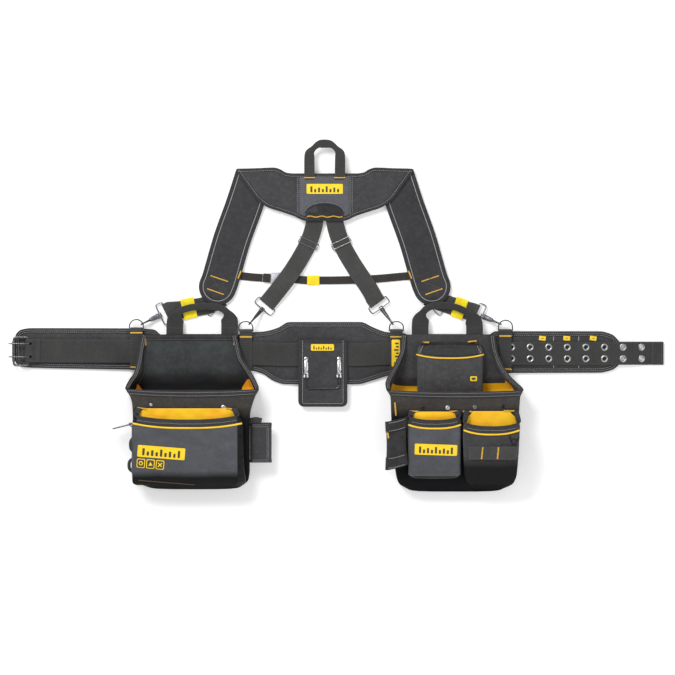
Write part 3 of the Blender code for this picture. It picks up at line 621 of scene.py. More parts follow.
def cloth(name, colour, pitch=1.5, roughness=0.86, sheen=0.12, warm=None, depth=0.28, crease=0.5,
          contrast=0.22, patch=70.0, fade=None, dark=0.55, folds=None, gloss=0.35):
    """Woven nylon: weave, fuzz, soft creases, and tone that drifts over the cloth."""
    m = Maker(name, roughness)
    weave = m.weave(pitch)
    large = m.noise(patch, 3.0, 0.6)
    small = m.noise(4.0, 3.0, 0.7)
    tone = m.mix(m.spread(large, 0.32, 0.68), times(colour, 1 - contrast),
                 warm or times(colour, 1 + contrast))
    # The weave's valleys are darker: partly the dark gaps between threads, partly painted shade in them.
    tone = m.mix(m.spread(weave, -1, 1, dark, 0.0), tone, times(colour, 0.45))
    tone = m.mix(m.spread(small, 0.56, 0.8, 0.0, 0.35), tone, times(colour, 1.0 + 1.6 * dark))
    grain = m.noise(8.0, 4.0, 0.75)
    tone = m.mix(m.spread(grain, 0.30, 0.50, 0.8 * dark, 0.0), tone, times(colour, 0.5))
    tone = m.mix(m.spread(grain, 0.50, 0.72, 0.0, 0.8 * dark), tone, times(colour, 1.7))
    # This darker colour is painted shade on the inner panel and the slate pocket panel; on the ballistic body
    # it is partly a darker cloth and partly painted shade.
    if fade:                    # a darker colour that takes over down the piece, between two heights
        foot, start, end = fade
        height = m.math("ADD", m.split(m.place.outputs["Object"])[1], m.math("MULTIPLY", large, 0.008))
        share = m.spread(height, start * MM, end * MM)
        tone = m.mix(share, tone, foot)
        m.link(m.spread(share, 0, 1, gloss, 0.04), m.shader.inputs["Specular IOR Level"])
        m.link(m.spread(share, 0, 1, sheen, 0.0), m.shader.inputs["Sheen Weight"])
    m.link(tone, m.shader.inputs["Base Color"])
    m.link(m.spread(small, 0.3, 0.7, roughness - 0.1, min(1.0, roughness + 0.08)),
           m.shader.inputs["Roughness"])
    heights = [(m.noise(26.0, 3.0, 0.55), 2.2, crease), (weave, depth, 0.9), (m.noise(0.7, 2.0), 0.12, 0.6)]
    if folds:
        heights.insert(0, (m.noise(34.0, 2.0, 0.45, folds), 9.0, 0.8))
    m.bump(heights)
    m.shader.inputs["Sheen Weight"].default_value = sheen
    m.shader.inputs["Sheen Roughness"].default_value = 0.5
    m.shader.inputs["Specular IOR Level"].default_value = gloss
    return m.material


def tape(name, colour, along=2.2, across=3.0, slant=0.0, roughness=0.82, depth=0.4, sheen=0.1, lift=1.35,
         rib_shade=0.7):
    """Webbing or binding tape, ribbed along its own run."""
    m = Maker(name, roughness)
    rib = m.ribs(along, across, slant)
    tone = m.mix(m.spread(m.noise(45.0, 3.0, 0.6), 0.3, 0.7), times(colour, 0.8), times(colour, 1.2))
    tone = m.mix(m.spread(rib, -1, 1, rib_shade, 0.0), tone, times(colour, 0.5))
    tone = m.mix(m.worn(0.505, 0.56), tone, times(colour, lift))
    grain = m.noise(8.0, 4.0, 0.75)
    tone = m.mix(m.spread(grain, 0.30, 0.50, 0.25, 0.0), tone, times(colour, 0.6))
    tone = m.mix(m.spread(grain, 0.50, 0.72, 0.0, 0.25), tone, times(colour, 1.5))
    fine = m.noise(1.1, 3.0, 0.7)
    tone = m.mix(m.spread(fine, 0.55, 0.85, 0.0, 0.3), tone, times(colour, 1.8))
    m.link(tone, m.shader.inputs["Base Color"])
    m.bump([(m.noise(30.0, 2.0), 1.2, 0.35), (rib, depth, 0.9), (fine, 0.15, 0.5)])
    m.shader.inputs["Sheen Weight"].default_value = sheen
    m.shader.inputs["Sheen Roughness"].default_value = 0.5
    m.shader.inputs["Specular IOR Level"].default_value = 0.35
    return m.material


def thread_look(name, colour):
    m = Maker(name, 0.6)
    tone = m.mix(m.noise(5.0, 2.0), times(colour, 0.55), times(colour, 1.25))
    m.link(tone, m.shader.inputs["Base Color"])
    m.bump([(m.weave(0.35), 0.12, 0.8)])
    m.shader.inputs["Sheen Weight"].default_value = 0.15
    return m.material


def metal(name, colour, roughness=0.3, grime=0.5, edge=2.2):
    """Plated steel: fine scratches, dull patches, and edges rubbed bright."""
    m = Maker(name, roughness, 1.0)
    dull = m.spread(m.noise(9.0, 4.0, 0.65), 0.3, 0.75)
    tone = m.mix(dull, colour, times(colour, grime))
    tone = m.mix(m.worn(), tone, times(colour, edge))
    scratch = m.noise(1.2, 4.0, 0.75, (0.15, 2.5, 1.0))
    m.link(tone, m.shader.inputs["Base Color"])
    m.link(m.math("ADD", m.spread(dull, 0, 1, roughness - 0.06, roughness + 0.16),
                  m.spread(scratch, 0.45, 0.75, 0.0, 0.12)), m.shader.inputs["Roughness"])
    m.bump([(scratch, 0.05, 0.4), (m.noise(14.0, 2.0), 0.2, 0.3)])
    return m.material


def moulded(name, colour, roughness=0.45, grain=0.5, wear=1.5):
    """Moulded plastic or rubber with a fine spark grain."""
    m = Maker(name, roughness)
    tone = m.mix(m.noise(12.0, 3.0, 0.6), times(colour, 0.88), times(colour, 1.08))
    tone = m.mix(m.worn(0.51, 0.58), tone, times(colour, wear))
    m.link(tone, m.shader.inputs["Base Color"])
    m.link(m.spread(m.noise(6.0, 3.0), 0.3, 0.7, roughness - 0.08, roughness + 0.1),
           m.shader.inputs["Roughness"])
    m.bump([(m.noise(grain, 3.0, 0.6), 0.08, 0.5)])
    return m.material


def looks():
    black = (0.009, 0.009, 0.010)
    return {
        "pad": cloth("pad_nylon", (0.046, 0.046, 0.049), crease=0.5),
        "cover": cloth("cover_nylon", (0.050, 0.050, 0.053), pitch=1.3, crease=0.55),
        "shoulder": cloth("shoulder_nylon", (0.038, 0.038, 0.041), pitch=1.3, crease=0.5),
        "light_cover": cloth("light_cover_nylon", (0.064, 0.064, 0.067), pitch=1.3, crease=0.7),
        "wide": cloth("wide_pocket_nylon", (0.046, 0.046, 0.049), pitch=1.3, crease=0.9, fade=((0.015, 0.015,
                                                                                                0.016), -304,
                                                                                               -330),
                      folds=(0.5, 1.0, 1.0)),
        # Below the mouth the ballistic body turns near black: partly a smoother black cloth round the
        # pockets, partly painted shade between and under the front pockets.
        "ballistic": cloth("ballistic_nylon", (0.046, 0.041, 0.036), pitch=1.8, depth=0.35, crease=0.7,
                           sheen=0.06, fade=(black, -196, -224), folds=(0.5, 1.0, 1.0)),
        "gusset": cloth("gusset_nylon", (0.026, 0.026, 0.028), crease=0.8, contrast=0.35, patch=30.0),
        # The inner panel's large light patches are painted sheen highlights, and its darker lower part is
        # painted shade under the pouch's front edge.
        "inner": cloth("inner_panel_nylon", (0.038, 0.043, 0.045), pitch=1.2, crease=0.9, contrast=0.45,
                       patch=60.0, fade=((0.016, 0.019, 0.021), -112, -150)),
        "slate": cloth("slate_panel", (0.082, 0.085, 0.097), pitch=1.0, roughness=0.62, sheen=0.08,
                       depth=0.12, crease=0.8, contrast=0.12, patch=90.0, dark=0.3),
        "slate_pocket": cloth("slate_pocket_panel", (0.066, 0.070, 0.080), pitch=1.0, roughness=0.6,
                              sheen=0.08, depth=0.12, crease=0.9, contrast=0.16, patch=60.0, dark=0.3,
                              folds=(0.5, 0.8, 1.0)),
        # The slate panel darkens towards its foot: painted shade where the pocket's front turns under.
        "slate_fade": cloth("slate_panel_fading", (0.066, 0.070, 0.080), pitch=1.0, roughness=0.6, sheen=0.08,
                            depth=0.12, crease=0.9, contrast=0.14, patch=90.0, dark=0.3, fade=((0.012, 0.012,
                                                                                                0.013), -337,
                                                                                               -352),
                            folds=(0.4, 0.5, 1.0)),
        "bottom": cloth("coated_bottom", (0.015, 0.0145, 0.014), pitch=1.4, roughness=0.42, crease=1.0,
                        sheen=0.0, contrast=0.4, patch=50.0, folds=(0.6, 1.2, 1.0), gloss=0.08),
        "lining": cloth("yellow_lining", (0.98, 0.50, 0.010), pitch=1.0, roughness=0.6, sheen=0.05,
                        depth=0.08, crease=0.6, contrast=0.05, warm=(0.88, 0.33, 0.008), patch=30.0,
                        dark=0.06),
        "mouth": cloth("yellow_pocket_lining", (1.0, 0.62, 0.010), pitch=1.0, roughness=0.58, sheen=0.05,
                       depth=0.08, crease=0.5, contrast=0.04, warm=(0.97, 0.47, 0.008), patch=55.0,
                       dark=0.06),
        "keeper": tape("yellow_elastic", (1.0, 0.70, 0.008), along=1.6, across=0.0, roughness=0.6, depth=0.12,
                       lift=1.0, rib_shade=0.15),
        "webbing": tape("belt_webbing_weave", (0.043, 0.042, 0.041), along=4.2, across=2.6, depth=0.5),
        "elastic": tape("elastic_webbing", (0.056, 0.055, 0.054), along=2.6, across=2.4, depth=0.3),
        "chest": tape("chest_webbing", (0.036, 0.031, 0.029), along=2.0, across=4.0, depth=0.3),
        "binding": tape("grosgrain_binding", (0.028, 0.028, 0.030), along=1.3, across=0.0, depth=0.2),
        "handle": tape("handle_webbing", (0.032, 0.032, 0.032), along=2.2, across=2.8, slant=0.4, depth=0.3,
                       rib_shade=0.45),
        "piping": moulded("yellow_piping", (0.94, 0.58, 0.015), 0.42, wear=1.0),
        "rust": moulded("brown_cord", (0.085, 0.042, 0.016), 0.6, wear=1.2),
        "patch": moulded("yellow_patch", (0.94, 0.63, 0.008), 0.5, wear=1.0),
        "mark": moulded("dark_mark", (0.05, 0.042, 0.02), 0.6),
        "dark_metal": metal("gunmetal", (0.085, 0.085, 0.09), 0.30, edge=3.0),
        "black_metal": metal("black_oxide", (0.03, 0.03, 0.032), 0.4, edge=2.5),
        "loop_metal": metal("loop_steel", (0.055, 0.055, 0.058), 0.26, edge=4.0),
        "steel": metal("wire_steel", (0.20, 0.20, 0.205), 0.28, edge=2.2),
        "grommet": metal("grommet_nickel", (0.36, 0.36, 0.365), 0.30, 0.5, 1.6),
        "grey_metal": metal("grey_casting", (0.17, 0.175, 0.195), 0.45, edge=1.6),
        "bright_metal": metal("nickel", (0.62, 0.62, 0.63), 0.26, 0.6, 1.3),
        "plastic": moulded("grey_plastic_grain", (0.37, 0.37, 0.41), 0.4),
        "grey_thread": thread_look("grey_thread", (0.36, 0.36, 0.37)),
        "light_thread": thread_look("light_thread", (0.55, 0.55, 0.55)),
        "dark_thread": thread_look("dark_thread", (0.10, 0.10, 0.10)),
        "yellow_thread": thread_look("yellow_thread", (0.80, 0.47, 0.045)),
    }


LOOK = looks()


# ---------------------------------------------------------------- padded pieces and their bindings

def crossed(first, second, across):
    """Rows of plan points from one edge line to the other, closer together near both edges."""
    share = 0.5 - 0.5 * np.cos(pi * np.linspace(0, 1, across))
    share = 0.6 * share + 0.4 * np.linspace(0, 1, across)
    return first[:, None] * (1 - share[None, :, None]) + second[:, None] * share[None, :, None]


def outline_of(first, second):
    """Closed outline round two edge lines, anticlockwise."""
    line = np.vstack([first, second[::-1]])
    return line if area_of(line) > 0 else line[::-1]


def pad_shape(first, second, low, high, edge_low, edge_high, rim=8.0, soft=13.0, across=26, relief=None):
    """A padded piece between two edge lines: thin where its binding grips it, puffed inside."""
    plan = crossed(first, second, across)
    count = len(first)
    flat = plan.reshape(-1, 2)
    d = distance_to(flat, outline_of(first, second), closed=True)
    puff = np.sin(np.clip((d - rim) / soft, 0, 1) * pi / 2)
    top = edge_high - 1.0 + (high - edge_high + 1.0) * puff
    bottom = edge_low + 0.8 - (edge_low + 0.8 - low) * puff
    if relief is not None:
        top += relief(flat[:, 0], flat[:, 1]) * puff
    upper = np.column_stack([flat, top])
    lower = np.column_stack([flat, bottom])
    size = count * across
    faces = net(count, across)
    faces += [tuple(i + size for i in reversed(f)) for f in net(count, across)]
    edge = list(range(across)) + [r * across + across - 1 for r in range(1, count)]
    edge += [(count - 1) * across + c for c in range(across - 2, -1, -1)]
    edge += [r * across for r in range(count - 2, 0, -1)]
    for a, b in zip(edge, edge[1:] + edge[:1]):
        faces.append((a, a + size, b + size, b))
    return shape(np.vstack([upper, lower]), faces)


def cuff_section(width, low, high, wall=0.9):
    """Binding tape folded round an edge: (inward, height) points of a closed U."""
    r = (high - low) / 2
    middle = (high + low) / 2
    bend = [(0.2 + r * 0.8 * cos(a), middle + r * sin(a)) for a in np.radians(np.linspace(90, 270, 7))]
    inner = [(0.9 + (r - wall) * 0.8 * cos(a), middle + (r - wall) * sin(a))
             for a in np.radians(np.linspace(270, 90, 7))]
    return ([(width, high - 0.25)] + bend + [(width, low + 0.25), (width, low + wall)] + inner
            + [(width, high - wall)])


def bind_outline(outline, width, low, high, body=None, rows=(), thread="grey_thread", both=False):
    """Binding round a closed level outline, with its rows of stitching."""
    line = respaced(outline, 4.0, closed=True)
    inward = inward_of(line)
    section = np.array(cuff_section(width, low, high))
    rings = np.empty((len(line), len(section), 3))
    rings[..., :2] = line[:, None] + inward[:, None] * section[None, :, :1]
    rings[..., 2] = section[None, :, 1]
    run = lengths(line)
    uv = np.stack(np.broadcast_arrays(run[:, None], section[None, :, 0]), axis=-1)
    for d in rows:
        row = line + inward * d
        row = np.vstack([row, row[:1]])
        sew(body, thread, columns(row, high + 0.1))
        if both:
            sew(body, thread, columns(row, low - 0.1), up=(0, 0, -1))
    return tube(rings, closed=True, uv=uv)


# ---------------------------------------------------------------- belt

WEB_Z, WEB_THICK, WEB_WIDTH = 12.6, 2.4, 51.0
KEEPER_TOP = 15.8
BAR_X, BAR_Z, ROLLER_X = -680.0, 17.6, -711.0
BUCKLE_Y, BUCKLE_HALF = -80.5, 31.0
FRAME_WIRE, PRONG_WIRE = 2.25, 1.8
PRONG_ROWS = (-63.6, -92.6)
TIP_X = 722.0
EYELETS = [(386.0 + 41.0 * n, y) for n in range(8) for y in (-71.3, -96.6)]

BELT_UPPER = [(-708, -51), (-704, -41), (-694, -34), (-672, -31), (-456, -31.5), (-402, -34), (-388, -45),
              (-214, -45), (-196, -41), (-160, -38.5), (-128, -30), (-104, -17.5), (54, -17.5), (80, -29),
              (112, -40), (146, -42), (156, -45), (338, -45), (350, -38), (580, -38), (608, -45), (626, -64)]
BELT_LOWER = [(-708, -98), (-704, -107), (-694, -113), (-672, -115), (-449, -119), (-190, -121.5),
              (-163, -128), (-138, -144), (-112, -151.5), (46, -151.5), (76, -144), (112, -133), (150, -127),
              (580, -126), (608, -120), (626, -106)]


def web_centre(x):
    return through([(-700, -79.2), (-475, -80), (-190, -85), (-110, -87.5), (46, -87.5), (118, -85),
                    (722, -84.8)], x)


def web_height(x):
    """Middle height of the belt webbing."""
    return through([(-710, WEB_Z), (590, WEB_Z), (640, 9.6), (690, 3.4), (722, 2.9)], x)


def belt_pad():
    stops = np.concatenate([np.linspace(-708, -670, 20), np.arange(-664, 596, 5.0),
                            np.linspace(598, 626, 16)])
    upper = np.column_stack([stops, through(BELT_UPPER, stops)])
    lower = np.column_stack([stops, through(BELT_LOWER, stops)])
    soft = Ripple(3, 60)

    def relief(x, y):
        under = np.exp(-((y + 84) / 30.0) ** 2)
        return 0.55 * soft(x, y) - 0.5 * under

    body = pad_shape(lower, upper, 2.0, 9.6, 2.6, 7.0, rim=9.0, soft=9.0, across=30, relief=relief)
    pad = make("belt_pad", body, "pad", "belt", ["padded_belt"], sharp=0)
    rim = bind_outline(outline_of(lower, upper), 9.6, 2.2, 7.2, "belt", rows=(2.6, 6.9))
    make("belt_pad_binding", rim, "binding", "belt")
    for x in (479.0, 534.5):
        for y0, y1 in ((-47.7, -58.0), (-111.5, -117.0)):
            bartack("belt", "grey_thread", (x, y0, 9.9), (x, y1, 9.9), 2.0)


def belt_web():
    """One length of webbing: from its folded end, round the buckle's bar, and along to the free tip."""
    bend = [(BAR_X + dx, BAR_Z + dz) for dx, dz in arc((0, 0), 3.75, 80, 285, 14)]
    start = [(-653.7, 15.2), (-658, 15.3), (-663, 16.0), (-669, 18.6), (-674.5, 20.8)] + bend
    start += [(-674, 13.1), (-668, WEB_Z)]
    run = np.concatenate([np.arange(-660, 700, 6.0), np.arange(700, TIP_X + 0.1, 2.0)])
    x = np.concatenate([[p[0] for p in start], run])
    z = np.concatenate([[p[1] for p in start], web_height(run)])
    z[len(start):] += 0.25 * Ripple(5, 90)(run, 0) * (run < 660)
    path = np.column_stack([x, web_centre(x), z])
    section = web_section(WEB_WIDTH, WEB_THICK, 12)
    body = sweep(path, section, (0, 1, 0))
    strap = make("belt_strap", body, "webbing", "belt", ["belt_webbing"])
    tools = []
    for x, y in EYELETS:
        z = float(web_height(x)[0])
        tools.append(wire([(x, y, z - 8), (x, y, z + 8)], 5.0, (1, 0, 0), sides=20))
    for row in PRONG_ROWS:
        tools.append(box_shape((BAR_X - 1.5, row, 19), (10.5, 2.5, 16.0), AXES, 1.0))
    cut(strap, tools)
    tip = np.linspace(695, TIP_X, 12)
    tip_path = np.column_stack([tip, np.full(12, -84.8), web_height(tip) + 1.9])
    make("belt_strap_tip_fold", sweep(tip_path, web_section(49.5, 1.9, 10), (0, 1, 0)), "webbing", "belt")
    for x in (698.5, 718.0):
        z = float(web_height(x)[0]) + 3.0
        sew("belt", "dark_thread", [(x, -107, z), (x, -62.5, z)])
    for x in (-657.5, -661.0):
        sew("belt", "dark_thread", [(x, -101, 16.7), (x, -58, 16.7)])


def eyelets():
    """Rolled metal rims in the webbing's holes."""
    profile = [(4.0, -2.2), (4.0, 0.9), (4.6, 1.75), (5.8, 2.05), (7.0, 1.75), (7.7, 1.15), (7.5, 1.0),
               (5.6, 1.1), (4.8, 0.6), (4.8, -1.0), (5.6, -1.5), (7.2, -1.6), (7.2, -1.9), (5.4, -2.3)]
    made = []
    for x, y in EYELETS:
        made.append(turned(profile, (x, y, float(web_height(x)[0]) + 0.15), sides=32))
    make("belt_eyelets", made, "grommet", "belt")


def size_tags():
    """Small yellow tags on the belt's binding."""
    tags, marks = [], []
    for x, lean in ((454.4, -7), (508.1, -3), (566.4, -9)):
        way = np.array((cos(radians(lean)), sin(radians(lean)), 0.0))
        side = left_of(way)
        middle = np.array((x, -51.8, 10.1))
        tags.append(box_shape(middle, (7.4, 4.9, 0.45), (way, side, UP), 0.3))
        for step in (-1, 0, 1):
            marks.append(box_shape(middle + way * step * 2.6 + (0, 0, 0.5),
                                   (0.7, 1.6 - 0.5 * abs(step), 0.15), (way, side, UP), 0.1))
    make("belt_size_tags", tags, "patch", "belt")
    make("belt_size_tag_marks", marks, "mark", "belt")


def buckle():
    """Wire frame, roller tube on its outer bar, and two prongs on its inner bar."""
    depth, middle = (BAR_X - ROLLER_X) / 2, (BAR_X + ROLLER_X) / 2
    loop = [(middle + x, BUCKLE_Y + y, BAR_Z) for x, y in rounded_box(depth, BUCKLE_HALF, 5.0, 6)]
    make("buckle_wire_frame", wire(respaced(loop, 2.0, True), FRAME_WIRE, closed=True), "dark_metal",
         "buckle", ["buckle_frame"])
    half = BUCKLE_HALF - 8.5
    profile = [(2.55, -half), (2.9, -half - 0.1), (3.5, -half + 0.5), (3.62, -half + 1.4), (3.62, half - 1.4),
               (3.5, half - 0.5), (2.9, half + 0.1), (2.55, half)]
    make("buckle_roller_tube", turned(profile, (ROLLER_X, BUCKLE_Y, BAR_Z), (0, 1, 0)), "dark_metal",
         "roller", ["buckle_roller"])
    for name, row in zip(("upper", "lower"), PRONG_ROWS):
        turn = FRAME_WIRE + 0.3 + PRONG_WIRE
        rise = BAR_Z + 3.6 + 0.3 + PRONG_WIRE
        path = [(BAR_X + dx, row, BAR_Z + dz) for dx, dz in arc((0, 0), turn, -200, 80, 18)]
        path += [(BAR_X - 4, row, BAR_Z + 5.2), (BAR_X - 12, row, rise + 0.4), (BAR_X - 22, row, rise + 0.3),
                 (ROLLER_X, row, rise), (ROLLER_X - 6, row, rise - 0.2), (ROLLER_X - 11, row, rise - 0.8)]
        line = smooth_path(path, 3)
        size = np.interp(lengths(line), [0, lengths(line)[-1] - 12, lengths(line)[-1]], [1, 1, 0.55])
        sections = round_section(PRONG_WIRE)[None] * size[:, None, None]
        make(f"buckle_prong_wire_{name}", sweep(line, sections, (0, 1, 0)), "dark_metal", f"prong_{name}",
             [f"buckle_prong_{name}"])


# ---------------------------------------------------------------- dee rings, their keepers and the snap hooks

RING_Y, RING_Z, RING_WIRE, RING_HALF, RING_SIDE = -35.6, 15.2, 1.4, 15.3, 10.0
# each ring's middle in X, its tilt in degrees, and the Y its keeper reaches up to
RINGS = {"left_front": (-440.6, 5.0, -27.6), "left_back": (-199.4, 35.0, -31.4),
         "right_back": (132.2, 35.0, -31.4), "right_front": (372.6, 22.0, -31.4)}
KEEPER_HALF = 13.5
# each hook's way in plan, the angle round the ring's bow where it sits, and its reach back to the wire eye
HOOKS = {"left_front": ((-0.90, -0.44), 25.0, 42.0), "left_back": ((-0.65, -0.76), 50.0, 40.2),
         "right_back": ((0.58, -0.81), 130.0, 40.2), "right_front": ((0.915, -0.403), 150.0, 41.0)}
EYE_Z, EYE_DEPTH, EYE_WIRE = 5.3, 16.5, 1.5
CURL_RADIUS, CURL_WIRE, SEAT = 6.2, 1.6, 2.5
# Y of each keeper's upper and lower bar tack
TACKS = {"left_front": (-39.6, -115.0), "left_back": (-48.8, None), "right_back": (-48.6, -123.4),
         "right_front": (-46.8, -119.4)}


def ring_keeper(place):
    """A strip of web round the whole belt, looped over the ring's bar at its upper edge."""
    middle, _, top = RINGS[place]
    stops = np.array([middle - KEEPER_HALF, middle, middle + KEEPER_HALF])
    low = through(BELT_LOWER, stops).min() - 1.6
    high = max(top, through(BELT_UPPER, stops).max() + 2.3) - 0.75
    front = KEEPER_TOP - 0.75
    loop = [(RING_Y + dy, RING_Z + dz) for dy, dz in arc((0, 0), 2.75, 150, 20, 8)]
    line = [(low, 3.0), (low, front - 2.0), (low + 1.2, front), (-100, front), (-70, front), (-46, front),
            (RING_Y - 5.5, front + 0.2)] + loop
    line += [(high, 10.5), (high, 3.0), (high - 1.6, 0.78), (-60, 0.78), (-100, 0.78), (low + 1.8, 0.78)]
    path = respaced([(middle, y, z) for y, z in line], 1.6, closed=True)
    strip = sweep(path, web_section(2 * KEEPER_HALF, 1.5, 6), (1, 0, 0), closed=True)
    make(f"ring_keeper_web_{place}", strip, "webbing", "belt", [f"ring_keeper_{place}"])
    upper, lower = TACKS[place]
    z = 17.3 if upper >= -43 else (15.6 if place == "right_back" else 16.1)
    bartack("belt", "yellow_thread", (middle - 13.2, upper, z), (middle + 13.2, upper, z), 3.8)
    if lower:
        start, end = (middle - 13, middle + 2) if "left" in place else (middle - 1, middle + 14)
        if place == "right_back":
            start, end = middle - 12, middle - 3
        z = min(z, 16.0)
        bartack("belt", "yellow_thread", (start, lower, z), (end, lower - 1, z), 3.4)


def ring_point(place, a, b):
    """A point in a dee ring's own plane: a along its bar, b out from the bar."""
    middle, tilt, _ = RINGS[place]
    return np.array((middle + a, RING_Y + b * cos(radians(tilt)), RING_Z + b * sin(radians(tilt))))


def dee_ring(place):
    outline = [(-RING_HALF + 2.0, 0), (RING_HALF - 2.0, 0), (RING_HALF - 0.5, 0.6), (RING_HALF, 2.2)]
    outline += arc((0, RING_SIDE), RING_HALF, 0, 180, 30) + [(-RING_HALF, 2.2), (-RING_HALF + 0.5, 0.6)]
    path = respaced([ring_point(place, a, b) for a, b in outline], 1.6, closed=True)
    tilt = radians(RINGS[place][1])
    make(f"dee_ring_wire_{place}", wire(path, RING_WIRE, (0, -sin(tilt), cos(tilt)), True), "dark_metal",
         f"ring_{place}", [f"dee_ring_{place}"])


class HookLay:
    """Where a hook lies: its seat on the ring, the wire eye's two bars, and the hook's own axes."""

    def __init__(self, place):
        plan, angle, reach = HOOKS[place]
        self.seat = ring_point(place, RING_HALF * cos(radians(angle)),
                               RING_SIDE + RING_HALF * sin(radians(angle)))
        self.way = unit((*plan, 0))
        self.eye = np.array((self.seat[0], self.seat[1], 0)) - self.way * reach
        self.eye[2] = EYE_Z
        self.fold = self.eye - self.way * EYE_DEPTH
        self.along = unit(self.seat - self.eye)
        self.across = left_of(self.way)
        up = np.cross(self.along, self.across)
        self.up = up if up[2] > 0 else -up
        self.middle = np.linalg.norm(self.seat - self.eye) - SEAT

    def point(self, x, z, y=0.0):
        return self.eye + self.along * x + self.up * z + self.across * y


def snap_hook(place):
    """Cast hook with its collar and barrel, sprung gate, and the wire eye that holds the strap."""
    lay = HookLay(place)
    look = "grey_metal" if place.endswith("front") else "dark_metal"
    m = lay.middle
    wide = 1.35 if place.endswith("front") else 1.0
    shank = [(2.6, 0.0, 8.6 * wide, 6.0), (5.0, 0.0, 9.4 * wide, 6.4), (9.0, 0.0, 8.6 * wide, 5.6),
             (m - 18, -0.2, 7.0 * wide, 4.8), (m - 14.5, -0.8, 5.4, 4.4), (m - 11.5, -1.2, 5.0, 4.0),
             (m - 8.2, -2.6, 4.4, 3.6)]
    keys = [(*lay.point(x, z), w, t) for x, z, w, t in shank]
    for x, z in arc((m, 0), CURL_RADIUS, 222, 478, 14):
        share = 1 - 0.25 * max(0, (x - m) / CURL_RADIUS) if z > 0 else 1
        keys.append((*lay.point(x, z), 2 * CURL_WIRE * share + 0.5, 2 * CURL_WIRE * share))
    keys = smooth_path(keys, 3)
    sections = np.stack([oval_section(w, t) for w, t in keys[:, 3:]])
    split = int(np.argmin(np.linalg.norm(keys[:, :3] - lay.point(m - 14.5, -0.8), axis=1))) + 1
    make(f"snap_hook_curl_{place}", sweep(keys[split - 1:, :3], sections[split - 1:], lay.across),
         "dark_metal", "suspenders")
    body = [sweep(keys[:split, :3], sections[:split], lay.across)]
    barrel = [(1.95, -4.8), (2.3, -5.0), (3.9, -4.9), (4.1, -4.4), (4.1, 4.4), (3.9, 4.9), (2.3, 5.0),
              (1.95, 4.8)]
    body.append(turned(barrel, lay.point(0, 0), lay.across, 24))
    collar = [(0.4, -0.9), (4.6, -0.9), (4.9, -0.5), (4.9, 0.5), (4.6, 0.9), (0.4, 0.9)]
    body.append(turned(collar, lay.point(6.4, 0), lay.along, 24))
    make(f"snap_hook_body_{place}", body, look, "suspenders", [f"snap_hook_{place}"])
    pivot, tip = (m - 14.5, 3.9), (m - 4.6, CURL_RADIUS - 0.6)
    knots = [(*pivot, 4.4, 1.8), (pivot[0] + 2.5, 4.6, 4.4, 2.2), ((pivot[0] + tip[0]) / 2, 5.1, 4.0, 1.9),
             (*tip, 3.0, 1.5)]
    keys = smooth_path([(*lay.point(x, z), w, t) for x, z, w, t in knots], 5)
    gate = [sweep(keys[:, :3], np.stack([oval_section(w, t) for w, t in keys[:, 3:]]), lay.across)]
    gate.append(wire([lay.point(pivot[0], pivot[1] - 0.2, -2.9), lay.point(pivot[0], pivot[1] - 0.2, 2.9)],
                     0.9, lay.along))
    gate.append(box_shape(lay.point(pivot[0] + 4.5, 6.2), (1.7, 0.8, 0.5), (lay.across, lay.along, lay.up),
                          0.3))
    make(f"hook_gate_lever_{place}", gate, "dark_metal", f"gate_{place}",
         [f"hook_gate_{place}"])
    half = 24.6 if place.endswith("front") else 23.8
    middle = (lay.eye + lay.fold) / 2
    loop = [middle + lay.way * x + lay.across * y for x, y in rounded_box(EYE_DEPTH / 2, half, 4.4, 7)]
    make(f"strap_eye_wire_{place}", wire(respaced(loop, 2.0, True), EYE_WIRE, closed=True), "steel",
         "suspenders", [f"strap_eye_{place}"])


# ---------------------------------------------------------------- suspenders

SHOULDER_LOW, SHOULDER_TOP, YOKE_LOW, YOKE_TOP = 4.2, 11.0, 11.4, 18.6
SHOULDER_HALF = 39.5
YOKE_UPPER = [(-195, 320.5), (-150, 321.5), (-112, 323), (-98, 319), (-86, 312), (-70, 310)]
YOKE_LOWER = [(-195, 319.5), (-190, 313), (-180.5, 299), (-166, 279), (-147, 254), (-124, 238), (-97, 229),
              (-70, 220), (-40, 208.5)]


def both_halves(half):
    return [(YOKE_X + x, y) for x, y in half] + [(YOKE_X - x, y) for x, y in half[::-1]]


def yoke():
    """Padded wings with their binding; the grey middle panel lies on top."""
    stops = YOKE_X + np.concatenate([np.linspace(-194.6, -150, 20), np.linspace(-146, 146, 76),
                                     np.linspace(150, 194.6, 20)])
    upper = np.column_stack([stops, through(both_halves(YOKE_UPPER), stops)])
    lower = np.column_stack([stops, through(both_halves(YOKE_LOWER), stops)])
    soft = Ripple(11, 55)

    def relief(x, y):
        seam = np.exp(-((np.abs(x - YOKE_X) - 58.5) / 4.5) ** 2)
        return 0.7 * soft(x, y) - 2.4 * seam

    body = pad_shape(lower, upper, YOKE_LOW, YOKE_TOP - 0.4, 12.6, 16.6, rim=5.5, soft=12.0, across=34,
                     relief=relief)
    piece = make("yoke_pad", body, "cover", "suspenders", ["shoulder_yoke"], sharp=0)
    rim = bind_outline(outline_of(lower, upper), 6.6, 12.2, 17.0, "suspenders", rows=(4.6,), both=True)
    make("yoke_binding", rim, "binding", "suspenders")
    for side in (-1, 1):
        for off in (56.8, 60.4):
            x = YOKE_X + side * off
            low = float(through(both_halves(YOKE_LOWER), x)[0]) + 8
            sew("suspenders", "grey_thread", [(x, low, 16.9), (x, 262, 17.0), (x, 303, 16.9)])
    yoke_centre()


NOTCH_HALF, NOTCH_LOW, NOTCH_RISE = 42.0, 222.5, 21.5


def notch(x):
    """Lower edge of the yoke's grey panel: a half round notch between two feet."""
    u = np.abs(np.asarray(x, float) - YOKE_X) / NOTCH_HALF
    low = through(both_halves(YOKE_LOWER), x) + 8.5
    return np.where(u < 1, NOTCH_LOW + NOTCH_RISE * np.sqrt(np.maximum(0, 1 - u ** 2)), low)


